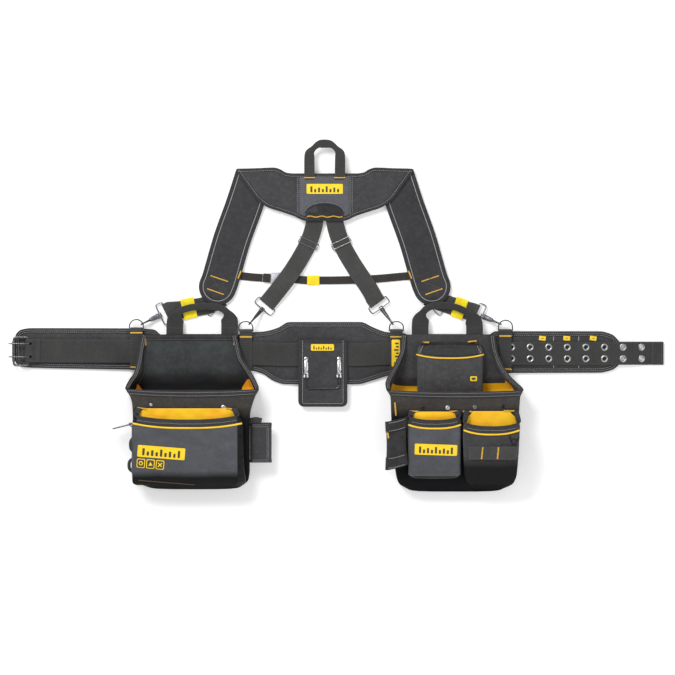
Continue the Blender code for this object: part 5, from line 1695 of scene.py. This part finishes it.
LEFT_HANDLE = [(-356.4, -47, 15.2), (-356.2, -40.5, 16.4), (-356, -28, 16.2), (-355, -14, 15.4),
               (-352, -2, 14.6), (-343, 9, 14.0), (-322, 15.8, 13.6), (-297, 18.6, 13.8), (-268, 18, 14.0),
               (-249, 12, 14.4), (-239, 1, 14.6), (-235.6, -14, 15.4), (-235.2, -28, 16.2),
               (-235.2, -40.5, 16.4), (-235.2, -47, 15.2)]
RIGHT_HANDLE = [(184.5, -47, 15.2), (184.5, -40.5, 16.4), (184.5, -28, 16.2), (185.5, -14, 15.4),
                (188, -1, 14.6), (197, 12, 14.2), (213, 19.5, 14.0), (237, 21, 13.8), (262, 17, 13.6),
                (284, 7.5, 13.6), (297, -5, 14.2), (303, -17, 15.4), (304.4, -28, 16.2), (304.4, -40.5, 16.4),
                (304.4, -47, 15.2)]


def handle(name, body, node, points):
    """Web handle: flat and wide at its feet, rolled into a thick narrow grip over its middle."""
    line = respaced(smooth_path(points, 8), 3.0)
    run = lengths(line) / lengths(line)[-1]
    share = np.minimum(run, 1 - run)
    narrow = ease((share - 0.16) / 0.10)
    sections = []
    for n in narrow:
        flat = web_section(37.0 - 22.0 * n, 1.9 + 0.6 * n, 10)
        roll = flat.copy()
        roll[:, 1] = flat[:, 1] * (1 + 2.0 * n) + 0.9 * n * np.cos(flat[:, 0] / 15.0 * pi)
        sections.append(roll)
    made = sweep(line, np.array(sections), beside(line))
    make(name, made, "handle", body, [node])
    for end in (6, len(line) - 7):
        t = line[end] - line[end - 1]
        across = unit(left_of(t))
        middle = line[end] + (0, 0, 1.3)
        sew(body, "dark_thread", [middle - across * 15, middle + across * 15])


# ---------------------------------------------------------------- left pouch

def left_pouch():
    bag = Bag(LEFT_STATIONS, 5, 9.0, 3.0, (2.0, 19.0), 31, wrinkle=1.3, smile=4.5)
    bag_pieces(bag, "left_pouch", "left_bag", "left_pouch", "ballistic", "inner", "lining")
    bag_edges(bag, "left_pouch_binding", "left_bag")
    gusset_seams(bag, "left_pouch_gusset_seams", "left_bag")
    tunnel("left_pouch_tunnel", "left_bag", (-376, -232), -43.7, -123.4)
    top = -43.6
    for y in (top - 3.5, -54.5):
        sew("left_bag", "dark_thread", on(bag.back, columns(np.linspace(-419, -226, 60), y), 1.3))
    x = np.linspace(-424, -225, 60)
    hem_sheet = sheet_on(bag.back, columns(x, top + 0.3), columns(x, -57.0), 1.0, 0.2, 5)
    make("left_pouch_hem", hem_sheet, "gusset", "left_bag", sharp=60)
    for spots in (((-420.5, -51.5), (-420.0, -67.5)), ((-226.0, -48.5), (-225.0, -66.5))):
        start, end = on(bag.back, spots, 2.2)
        bartack("left_bag", "yellow_thread", start, end, 3.4)
    corners = {"left": ([(-444, -167), (-441, -161), (-439.5, -153.5), (-436, -154), (-432, -160),
                         (-427, -167.5)], -168),
               "right": ([(-209.5, -168), (-207.5, -160), (-203, -152), (-196, -142), (-191, -142),
                          (-186, -152), (-179, -168.5)], -169)}
    for name, (line, foot) in corners.items():
        lining_corner(bag, f"left_pouch_lining_corner_{name}", "left_bag", line, foot)
    rivets = [rivet((-405.6, -197.3, float(bag.front(-405.6, -197.3)) + 0.3), 3.4, 1.4),
              rivet((-247.2, -202.8, float(bag.front(-247.2, -202.8)) + 0.3), 5.6, 2.0)]
    make("left_pouch_rivets", rivets, "bright_metal", "left_bag")
    left_front_pocket(bag)
    left_tool_loop()
    left_side_trim()


def lining_corner(bag, name, body, upper, foot, look="lining"):
    """Yellow lining that shows beyond the mouth's front edge, up to the line given."""
    keys = np.array(upper, float)
    x = np.union1d(np.linspace(keys[0, 0], keys[-1, 0], 70), keys[:, 0])
    y = np.interp(x, keys[:, 0], keys[:, 1])

    def over_seam(x, y):
        """Clear of the seam where the back turns up into a gusset."""
        x0, x1 = (v.reshape(x.shape) for v in bag.at(y.ravel())[:2])
        off = np.minimum(x - x0, x1 - x) - bag.lean(y)
        return bag.back(x, y) + 2.3 * np.exp(-(off / 6.0) ** 2)

    sheet = sheet_on(over_seam, np.column_stack([x, y]), np.column_stack([x, np.minimum(foot, y - 0.4)]),
                     0.7, 0.6, 16)
    make(name, sheet, look, body, sharp=60)


def front_panel(bag, name, body, x, y, look="slate_pocket", rows=True, corner=9.0):
    """Grey cover sewn to a pocket's front, from under the piping to its lower seam."""
    count = 60
    ys = np.linspace(y[0], y[1], 40)
    inset_at = corner * (1 - np.sqrt(np.clip(1 - np.clip((y[1] + corner - ys) / corner, 0, 1) ** 2, 0, 1)))
    first = np.column_stack([x[0] + inset_at, ys])
    second = np.column_stack([x[1] - inset_at, ys])
    share = np.linspace(0, 1, count)
    plan = first[:, None] * (1 - share[None, :, None]) + second[:, None] * share[None, :, None]
    middle, half = (x[0] + x[1]) / 2, (x[1] - x[0]) / 2
    u = (plan[..., 0] - middle) / half
    fade = ease(1 - (y[0] - plan[..., 1]) / 45.0)
    plan[..., 1] -= bag.sag(u) * fade
    z = bag.front(plan[..., 0], plan[..., 1]) + 0.3
    upper = np.concatenate([plan, (z + 0.9)[..., None]], axis=-1)
    lower = np.concatenate([plan, z[..., None]], axis=-1)
    make(name, tube(np.concatenate([upper, lower[:, ::-1]], axis=1)), look, body, sharp=60)
    if rows:
        for line in (upper[2:-2, 2], upper[2:-2, -3], upper[-3, 3:-3]):
            sew(body, "dark_thread", line + (0, 0, 0.1), radius=0.4)


def front_pocket(pouch, name, body, stations, seed, look, crown=3.0, wrinkle=1.0, size=50, smile=9.0,
                 rim_width=16.5, drop=17.0, cord=2.0):
    """An open pocket sewn to a pouch's front: its sheets, yellow mouth, binding and piping."""
    bag = Bag(stations, 2, 7.0, crown, (19.0, 3.0), seed, wrinkle=wrinkle, size=size, smile=smile,
              wall=pouch.front)
    bag_pieces(bag, name, body, name, look, "gusset", "lining")
    pocket_mouth(bag, name + "_mouth", body)
    bag_edges(bag, name + "_binding", body, (10.0,), (), rim_width, 10.0, 4.0, round_by=12)
    make(name + "_piping", piping(bag, drop, cord), "piping", body)
    return bag


def mouth_tacks(body, *pairs):
    """Bar tacks that hold a front pocket's top corners to the pouch."""
    for start, end in pairs:
        bartack(body, "yellow_thread", (*start, 81.0), (*end, 81.0))


def left_front_pocket(pouch):
    bag = front_pocket(pouch, "left_front_pocket", "left_bag", LEFT_POCKET, 37, "bottom", crown=4.0,
                       wrinkle=1.5, size=60, smile=10.5, cord=2.1)
    front_panel(bag, "left_front_pocket_panel", "left_bag", (-447, -216), (-236, -374), "slate_fade",
                rows=False)
    scale_patch("left_patch", "left_bag", bag.front, (-382, -301), 104, 26, -4.5, 1.2)
    icons(bag)
    x = np.linspace(-434, -311, 40)
    seam = on(bag.front, np.column_stack([x, -362 - 10.5 * (x + 434) / 123]), 0.6)
    make("left_front_pocket_cord", wire(respaced(seam, 3.0), 1.2, sides=10), "rust", "left_bag")
    mouth_tacks("left_bag", ((-435, -203.5), (-415, -206.5)), ((-241, -205), (-221.5, -207.5)))


def icons(bag):
    """Three small framed marks: a ring, a triangle and a cross."""
    frames, inside = [], []
    flat, turn = (1.0, 0.9, 0.05), -4.5
    for i, centre in enumerate(((-426.8, -324.5), (-405.8, -326.2), (-385.0, -328.2))):
        frames.append(draped(bag.front, rect(centre, 9.2, 10.2, turn, 2.2), 0.7, 1.2))
        inside.append(draped(bag.front, rect(centre, 7.4, 8.4, turn, 1.6), 1.0, 1.2, (1.0, 0.95, 0.05), 0.2))
        if i == 0:
            for radius, made, thick in ((4.8, frames, 1.3), (2.6, inside, 1.6)):
                mark = [(centre[0] + x, centre[1] + y) for x, y in arc((0, 0), radius, 0, 345, 23)]
                made.append(draped(bag.front, np.array(mark), thick, 1.2, flat, 0.2, 0.8))
        elif i == 1:
            mark = [(centre[0] + x, centre[1] + y) for x, y in arc((0, -1), 5.6, 90, 330, 2)]
            frames.append(draped(bag.front, np.array(mark), 1.3, 1.2, flat, 0.2, 0.6))
        else:
            for lean in (45, -45):
                frames.append(draped(bag.front, rect(centre, 6.0, 1.1, turn + lean, 0.3), 1.3, 1.2, flat,
                                     0.2, 0.6))
    make("left_icon_frames", frames, "patch", "left_bag")
    make("left_icon_grounds", inside, "mark", "left_bag")


def left_tool_loop():
    """Flat sleeve of web on the pouch's side, hemmed at both ends."""
    x0, x1, z0, z1 = -188.8, -143.3, 26, 44
    outline = rounded_box((x1 - x0) / 2, (z1 - z0) / 2, 7.0, 6)
    path = respaced([((x0 + x1) / 2 + u, -281, (z0 + z1) / 2 + v) for u, v in outline], 2.5, closed=True)
    made = [sweep(path, web_section(87.7, 2.0, 20), (0, 1, 0), closed=True)]
    for y in (-240.5, -321.2):
        made.append(sweep(path * (1, 0, 1) + (0, y, 0) + unit(path - path.mean(axis=0)) * (1, 0, 1) * 0.7,
                          web_section(7.0, 1.6, 4), (0, 1, 0), closed=True))
    make("left_tool_loop_sleeve", made, "pad", "left_bag", ["left_tool_loop"])
    z = z1 + 1.8
    for y in (-242, -246, -319, -323):
        sew("left_bag", "grey_thread", [(x0 + 4, y, z), (x1 - 5, y, z)])
    for x in (x1 - 5.5, x1 - 9.0):
        sew("left_bag", "grey_thread", [(x, -248, z - 0.6), (x, -316, z - 0.6)])
    upper = web([(-192, -233, 50), (-176, -230, 49), (-164, -233, 46.5)], 12.0, 2.0, 3.0)
    make("left_tool_loop_tab", upper, "webbing", "left_bag")


def left_side_trim():
    """Elastic loops and the web tab that holds the steel ring on the pouch's left side."""
    made = []
    for y, reach in ((-284, 5.0), (-329, 8.0)):
        path = smooth_path([(-446, y + 14, 50), (-446 - reach, y + 6, 52), (-446 - reach, y - 8, 52),
                            (-446, y - 16, 50)], 6)
        made.append(sweep(path, web_section(20.0, 6.5, 6), UP))
    make("left_side_elastic", made, "webbing", "left_bag")
    bar = np.array((-451.4, -240.5, 44))
    way = unit((0.97, 0.245, 0))
    outline = arc((-17, 0), 13.0, 90, 270, 20)
    outline += arc((-1.5, -10), 3.0, 270, 360, 4) + arc((-1.5, 10), 3.0, 0, 90, 4)
    path = respaced([bar + way * (u * 1.35) + upward(v) for u, v in outline], 2.0, closed=True)
    make("left_side_ring_wire", wire(path, 1.4, (-way[1], way[0], 0), True), "dark_metal", "side_ring",
         ["left_side_ring"])
    tab = smooth_path([(-444, -248, 44), (-449, -246, 44), (-453.5, -243.2, 44), (-455.6, -240.2, 44),
                       (-453, -237.6, 44), (-449, -239.5, 44), (-444, -243, 44)], 5)
    make("left_side_ring_tab", sweep(tab, web_section(17.0, 1.4, 5), UP), "webbing", "left_bag")


# ---------------------------------------------------------------- right pouch

def right_pouch():
    bag = Bag(RIGHT_STATIONS, 5, 9.0, 3.0, (2.0, 21.0), 41, wrinkle=1.3, smile=3.5)
    bag_pieces(bag, "right_pouch", "right_bag", "right_pouch", "ballistic", "cover", "lining")
    bag_edges(bag, "right_pouch_binding", "right_bag")
    gusset_seams(bag, "right_pouch_gusset_seams", "right_bag")
    tunnel("right_pouch_tunnel", "right_bag", (172, 316), -43.7, -128.4)
    strip_left = [(118, -170), (121, -160), (123.5, -151.5), (131, -155), (146, -157), (165, -157.5),
                  (179, -157.5)]
    strip_right = [(317, -157), (319, -153), (323, -151.5), (345, -151), (371.2, -150.5), (372, -143.5),
                   (378, -149), (386, -157), (394, -170.5)]
    # The right pouch's corner strips use the brighter pocket-mouth yellow instead of the lining's own: a
    # painted lift against the shade deep in the pouch.
    for name, line in (("left", strip_left), ("right", strip_right)):
        lining_corner(bag, f"right_pouch_lining_corner_{name}", "right_bag", line, -171, "mouth")
    # The rivets get bright, grey and black finishes one by one, to match how much light each catches: painted
    # highlight and painted shade on like rivets.
    spots = ((243.2, -203.7, 5.2, "bright_metal"), (302.8, -202.2, 4.8, "grey_metal"),
             (364.5, -200.6, 4.4, "black_metal"), (188.5, -202.8, 4.4, "black_metal"))
    for i, (x, y, r, look) in enumerate(spots):
        make(f"right_pouch_rivet_{i}", rivet((x, y, float(bag.front(x, y)) + 0.3), r), look, "right_bag")
    inner_pocket(bag)
    grey_pocket(bag)
    wide_pocket(bag)
    side_holder()


def inner_pocket(pouch):
    bag = Bag(INNER_POCKET, 1, 5.0, 3.0, (19.0, 3.0), 43, wrinkle=0.8, size=50, smile=7.5, wall=pouch.back)
    bag_pieces(bag, "right_inner_pocket", "right_bag", "right_inner_pocket", "light_cover", "gusset",
               "gusset")
    bag_edges(bag, "right_inner_pocket_binding", "right_bag", (), (), 20.0, 10.0, 5.0, round_by=12)
    for side in (-1, 1):
        corner = [(250 + side * 68.0, -84.0), (250 + side * 63.0, -76.0), (250 + side * 59.5, -68.0)]
        sew("right_bag", "light_thread", on(bag.front, corner, 3.6), radius=0.5)
    make("right_inner_pocket_piping", piping(bag, 21.0, 1.7, spread=-1.5), "piping", "right_bag")
    for start, end in (((185.2, -60.8), (204, -60.8)), ((289.7, -59.5), (308.6, -57.5))):
        bartack("right_bag", "yellow_thread", (*start, 23.6), (*end, 24.6))
    badge = rect((301.5, -140.5), 7.6, 5.4, 0, 1.4)
    make("right_inner_pocket_badge", draped(bag.front, badge, 0.7, 0.3), "patch", "right_bag")
    mark = draped(bag.front, rect((301.5, -140.5), 4.6, 2.6, 0, 1.0), 1.0, 0.3, (1.0, 0.9, 0.05), 0.2)
    make("right_inner_pocket_badge_mark", mark, "mark", "right_bag")
    sew("right_bag", "dark_thread", on(bag.front, [(190.6, y) for y in np.linspace(-98, -185, 30)], 0.2))


def grey_pocket(pouch):
    bag = front_pocket(pouch, "right_grey_pocket", "right_bag", GREY_POCKET, 47, "gusset", wrinkle=0.9,
                       smile=8.5)
    front_panel(bag, "right_grey_pocket_panel", "right_bag", (157.5, 271.5), (-240, -353), corner=4.0)
    scale_patch("right_patch", "right_bag", bag.front, (217.4, -295), 93, 24, -2.0, 1.2)
    mouth_tacks("right_bag", ((160, -211.2), (180, -212)), ((247, -212), (265.5, -211.4)))


def wide_pocket(pouch):
    bag = front_pocket(pouch, "right_wide_pocket", "right_bag", WIDE_POCKET, 53, "wide", wrinkle=1.2, size=45,
                       smile=10.0, rim_width=16.0, drop=16.5)
    mouth_tacks("right_bag", ((277, -211.4), (297.5, -212.4)), ((366, -210.4), (390, -210.8)))
    bit_band(bag)
    accessory_ring()


BIT_BAND_Y, BIT_TACKS = -302.0, (318.0, 352.4)


def bit_band(bag):
    """Elastic tacked down in two places, so that it makes three loops."""
    x = np.linspace(288, 394, 90)
    loop = np.interp(x, (288, *BIT_TACKS, 394), (0, 1, 2, 3))
    arch = 1.7 + 2.6 * np.abs(np.sin(pi * loop))
    path = columns(x, BIT_BAND_Y, bag.front(x, BIT_BAND_Y) + arch)
    made = sweep(respaced(path, 1.5), web_section(30.0, 1.6, 10), unit((0, 1, 0.237)))
    make("right_bit_band_web", made, "elastic", "right_bag", ["right_bit_band"])
    for x in BIT_TACKS:
        z = float(bag.front(x, BIT_BAND_Y)) + 3.1
        bartack("right_bag", "yellow_thread", (x + 1.2, -289, z + 3.1), (x - 1.2, -315, z - 3.1), 3.6)


def accessory_ring():
    """Small triangular ring hung from a folded tab on the wide pocket."""
    outline = [(-8, 0), (8, 0), (10, -3), (2.6, -19), (0, -20.4), (-2.6, -19), (-10, -3)]
    top = np.array((388, -266, 108.6))
    down = unit((0, -1, -0.13))
    path = [top + np.array((1, 0, 0)) * u - down * v for u, v in outline]
    path = respaced(smooth_path(path, 5, closed=True), 1.5, closed=True)
    make("right_accessory_ring_wire", wire(path, 1.2, (0, down[2], -down[1]), True), "black_metal",
         "accessory_ring", ["right_accessory_ring"])
    tab = smooth_path([(388, -255, 106.4), (388, -262, 107.6), (388, -266.5, 111.2), (388, -269.5, 109.4),
                       (388, -266, 106.4), (388, -262, 105.6)], 5)
    make("right_accessory_tab", sweep(tab, web_section(15.0, 1.2, 5), (1, 0, 0)), "webbing", "right_bag")


def holder_lean(x):
    """How far the side holder's rows rise towards its right, x measured from its middle."""
    return 5.5 * x / 23.0 - 2.5 * (1 - (x / 25.0) ** 2)


def side_holder():
    """Soft open sleeve for a square or a bar, banded at both ends."""
    x0, x1, z0, z1 = 108, 154.6, 75.2, 94
    made = []
    for low, high, grow in ((-334, -229, 0.0), (-252, -228, 1.7), (-333, -306, 1.5)):
        rings = []
        wall = 1.8 + grow
        y = np.linspace(low, high, max(5, int((high - low) / 4)))
        neck = 1.0 - 0.9 * np.sin(pi * np.clip((y + 334) / 105, 0, 1))
        for inside in (False, True):
            layer = []
            for v, grip in zip(y, neck):
                cut_by = wall if inside else 0.0
                outline = np.array(rounded_box((x1 - x0) / 2 + grow + 2 * grip - 2 - cut_by,
                                               (z1 - z0) / 2 + grow + grip - 1 - cut_by, 8.0 - cut_by, 6))
                layer.append(columns((x0 + x1) / 2 + outline[:, 0], v + holder_lean(outline[:, 0]),
                                     (z0 + z1) / 2 + outline[:, 1]))
            rings += layer[::-1] if inside else layer
        made.append(tube(np.array(rings), closed=True))
    make("right_side_holder_sleeve", made, "gusset", "right_bag", ["right_side_holder"],
         sharp=60)
    for y in (-231.5, -249, -309, -330):
        x = np.linspace(x0 + 6, x1 - 5, 12)
        sew("right_bag", "light_thread", columns(x, y + holder_lean(x - (x0 + x1) / 2), z1 + 2.2))
    bartack("right_bag", "yellow_thread", (128, -192.5, 79.5), (130.5, -221, 78.5))
    bartack("right_bag", "yellow_thread", (111.2, -254, 93.0), (114, -270, 93.4))


# ---------------------------------------------------------------- hammer holder

def hammer_holder():
    x0, x1, low, high = -82.8, 23.2, 14.2, 18.2
    foot = np.radians(np.linspace(0, 88, 14))
    y = np.concatenate([np.arange(-55.7, -190, -4.0), -190.5 - 11 * np.sin(foot)])
    drop = np.clip((-190.5 - y) / 11, 0, 1)
    inset_by = 11 * (1 - np.sqrt(1 - drop ** 2))
    first, second = np.column_stack([x0 + inset_by, y]), np.column_stack([x1 - inset_by, y])
    soft = Ripple(61, 50)
    body = pad_shape(first, second, low, high - 0.1, low + 0.6, high - 0.9, rim=5.0, soft=5.0, across=34,
                     relief=lambda a, b: 0.25 * soft(a, b))
    make("hammer_panel_cover", body, "cover", "hammer_holder", ["hammer_panel"], sharp=0)
    rim = bind_outline(outline_of(first, second), 6.8, low + 0.2, high - 0.2)
    make("hammer_panel_binding", rim, "binding", "hammer_holder")
    corner = [(x0 + 12.2 - 4 * cos(a), -191.5 - 4 * sin(a)) for a in np.radians(np.linspace(0, 90, 6))]
    line = [(x0 + 8.2, -56.5)] + corner + [(x0 + x1 - x, y) for x, y in corner[::-1]] + [(x1 - 8.2, -56.5)]
    sew("hammer_holder", "light_thread", columns(line, high + 0.05))
    back = [(-114.6, 10.4), (-114.6, 12.2), (-100, 11.2), (-75, 11.2), (-60.4, 12.2), (-60.4, 14.0)]
    path = respaced(smooth_path([(-29.8, yy, zz) for yy, zz in back], 4), 3.0)
    make("hammer_sleeve_web", sweep(path, web_section(89, 0.7, 16), (1, 0, 0)), "gusset", "hammer_holder")
    scale_patch("hammer_patch", "hammer_holder", level(high), (-30.6, -71.8), 51, 14.5, 0, 0.0)
    hammer_metal(high)


def hammer_metal(high):
    """Two riveted plates with knuckles, and the wire loop that swings in them."""
    legs, pivot_y = (-66.8, 6.0), -135.6
    for name, leg in zip(SIDES, legs):
        waist = [(-3.6, -103), (-4.6, -106), (-4.6, -122), (-3.6, -125)]
        outline = [(leg + x, y) for x, y in arc((0, -98), 5.2, 20, 160, 8) + waist]
        outline += [(leg + x, y) for x, y in arc((0, -130), 5.2, 160, 380, 10)]
        outline += [(leg + 3.6, -125), (leg + 4.6, -122), (leg + 4.6, -106), (leg + 3.6, -103)]
        made = [slab_outline(outline[::-1], high + 0.2, high + 1.9, 0.5)]
        made.append(rivet((leg, -98, high + 1.8), 3.6, 1.7))
        made.append(rivet((leg, -127.5, high + 1.8), 3.6, 1.7))
        knuckle = [(1.2, -1.3), (3.6, -1.4), (3.8, -1.0), (3.8, 1.0), (3.6, 1.4), (1.2, 1.3)]
        for x in (leg - 3.7, leg + 3.7):
            made.append(turned(knuckle, (x, pivot_y, high + 3.7), (1, 0, 0), 24))
        made.append(wire([(leg - 5.4, pivot_y, high + 3.7), (leg + 5.4, pivot_y, high + 3.7)], 1.2, UP))
        make(f"hammer_plate_strip_{name}", made, "bright_metal", "hammer_holder",
             [f"hammer_plate_{name}"])
    z = high + 3.7
    turn = np.radians(np.linspace(-290, -20, 16))
    eye = [(legs[0], pivot_y - 2.7 * cos(a), z + 2.7 * sin(a)) for a in turn]
    half = eye + [(legs[0], pivot_y - 8, z - 1.0), (legs[0], pivot_y - 17, z - 0.6),
                  (legs[0] + 1.2, pivot_y - 22.6, z - 0.2), (legs[0] + 5.0, pivot_y - 25.4, z),
                  (legs[0] + 11, pivot_y - 26, z)]
    other = [(legs[1] + legs[0] - x, y, h) for x, y, h in half[::-1]]
    make("hammer_loop_wire", wire(respaced(smooth_path(half + other, 5), 1.0), 1.5), "loop_metal",
         "hammer_loop", ["hammer_wire_loop"])


# ---------------------------------------------------------------- the whole belt and its studio

def build():
    belt_pad()
    belt_web()
    eyelets()
    size_tags()
    buckle()
    for place in PLACES:
        ring_keeper(place)
        dee_ring(place)
        snap_hook(place)
    label()
    yoke()
    hang_loop()
    for side in SIDES:
        shoulder_pad(side)
        back_strap(side)
        back_adjuster(side)
        front_strap(side)
    chest_strap()
    left_pouch()
    right_pouch()
    handle("left_pouch_handle_web", "left_carry", "left_handle", LEFT_HANDLE)
    handle("right_pouch_handle_web", "right_carry", "right_handle", RIGHT_HANDLE)
    hammer_holder()
    finish_sewing()


def label():
    """Yellow woven label on the web strip beside the right pouch."""
    scale_patch("belt_label", "belt", level(KEEPER_TOP), (131.0, -84.7), 60, 18.5, 90, -0.65, 0.99)


def studio():
    """Pale floor, two large soft boxes and an even sky; the camera looks straight down on the belt."""
    scene = bpy.context.scene
    scene.view_settings.view_transform = "Standard"
    mesh = bpy.data.meshes.new("floor")
    size = 9.0
    mesh.from_pydata([(-size, -size, 0), (size, -size, 0), (size, size, 0), (-size, size, 0)], [],
                     [(0, 1, 2, 3)])
    floor = bpy.data.objects.new("floor", mesh)
    floor.location.z = -0.0006
    scene.collection.objects.link(floor)
    paper = Maker("floor_paper", 0.9)
    tone = paper.mix(paper.noise(400.0, 2.0), (0.90, 0.90, 0.90), (0.93, 0.93, 0.93))
    paper.link(tone, paper.shader.inputs["Base Color"])
    paper.shader.inputs["Emission Color"].default_value = (1.0, 1.0, 1.0, 1.0)
    paper.shader.inputs["Emission Strength"].default_value = 0.2
    floor.data.materials.append(paper.material)
    world = bpy.data.worlds.new("sky")
    world.use_nodes = True
    world.node_tree.nodes["Background"].inputs["Color"].default_value = (1.0, 1.0, 1.0, 1.0)
    world.node_tree.nodes["Background"].inputs["Strength"].default_value = 0.50
    scene.world = world
    for name, place, size, power in (("key", (-1.1, 1.5, 2.3), (1.3, 1.0), 62.0),
                                     ("fill", (1.7, -0.9, 2.1), (1.8, 1.8), 20.0),
                                     ("low", (0.2, -2.4, 1.2), (2.4, 0.8), 10.0)):
        lamp = bpy.data.lights.new(name, "AREA")
        lamp.shape = "RECTANGLE"
        lamp.size, lamp.size_y = size
        lamp.energy = power
        obj = bpy.data.objects.new(name, lamp)
        obj.location = place
        obj.rotation_euler = (Vector((0, 0, 0)) - Vector(place)).to_track_quat("-Z", "Y").to_euler()
        obj.visible_camera = False
        scene.collection.objects.link(obj)
    lens = bpy.data.cameras.new("camera")
    lens.lens, lens.sensor_width = 200.0, 36.0
    view_width = 1.485                         # metres across the picture at the belt's height
    camera = bpy.data.objects.new("camera", lens)
    camera.location = (0.0025, -0.050, 0.03 + view_width * lens.lens / lens.sensor_width)
    lens.clip_end = 60.0
    scene.collection.objects.link(camera)
    scene.camera = camera


build()
studio()
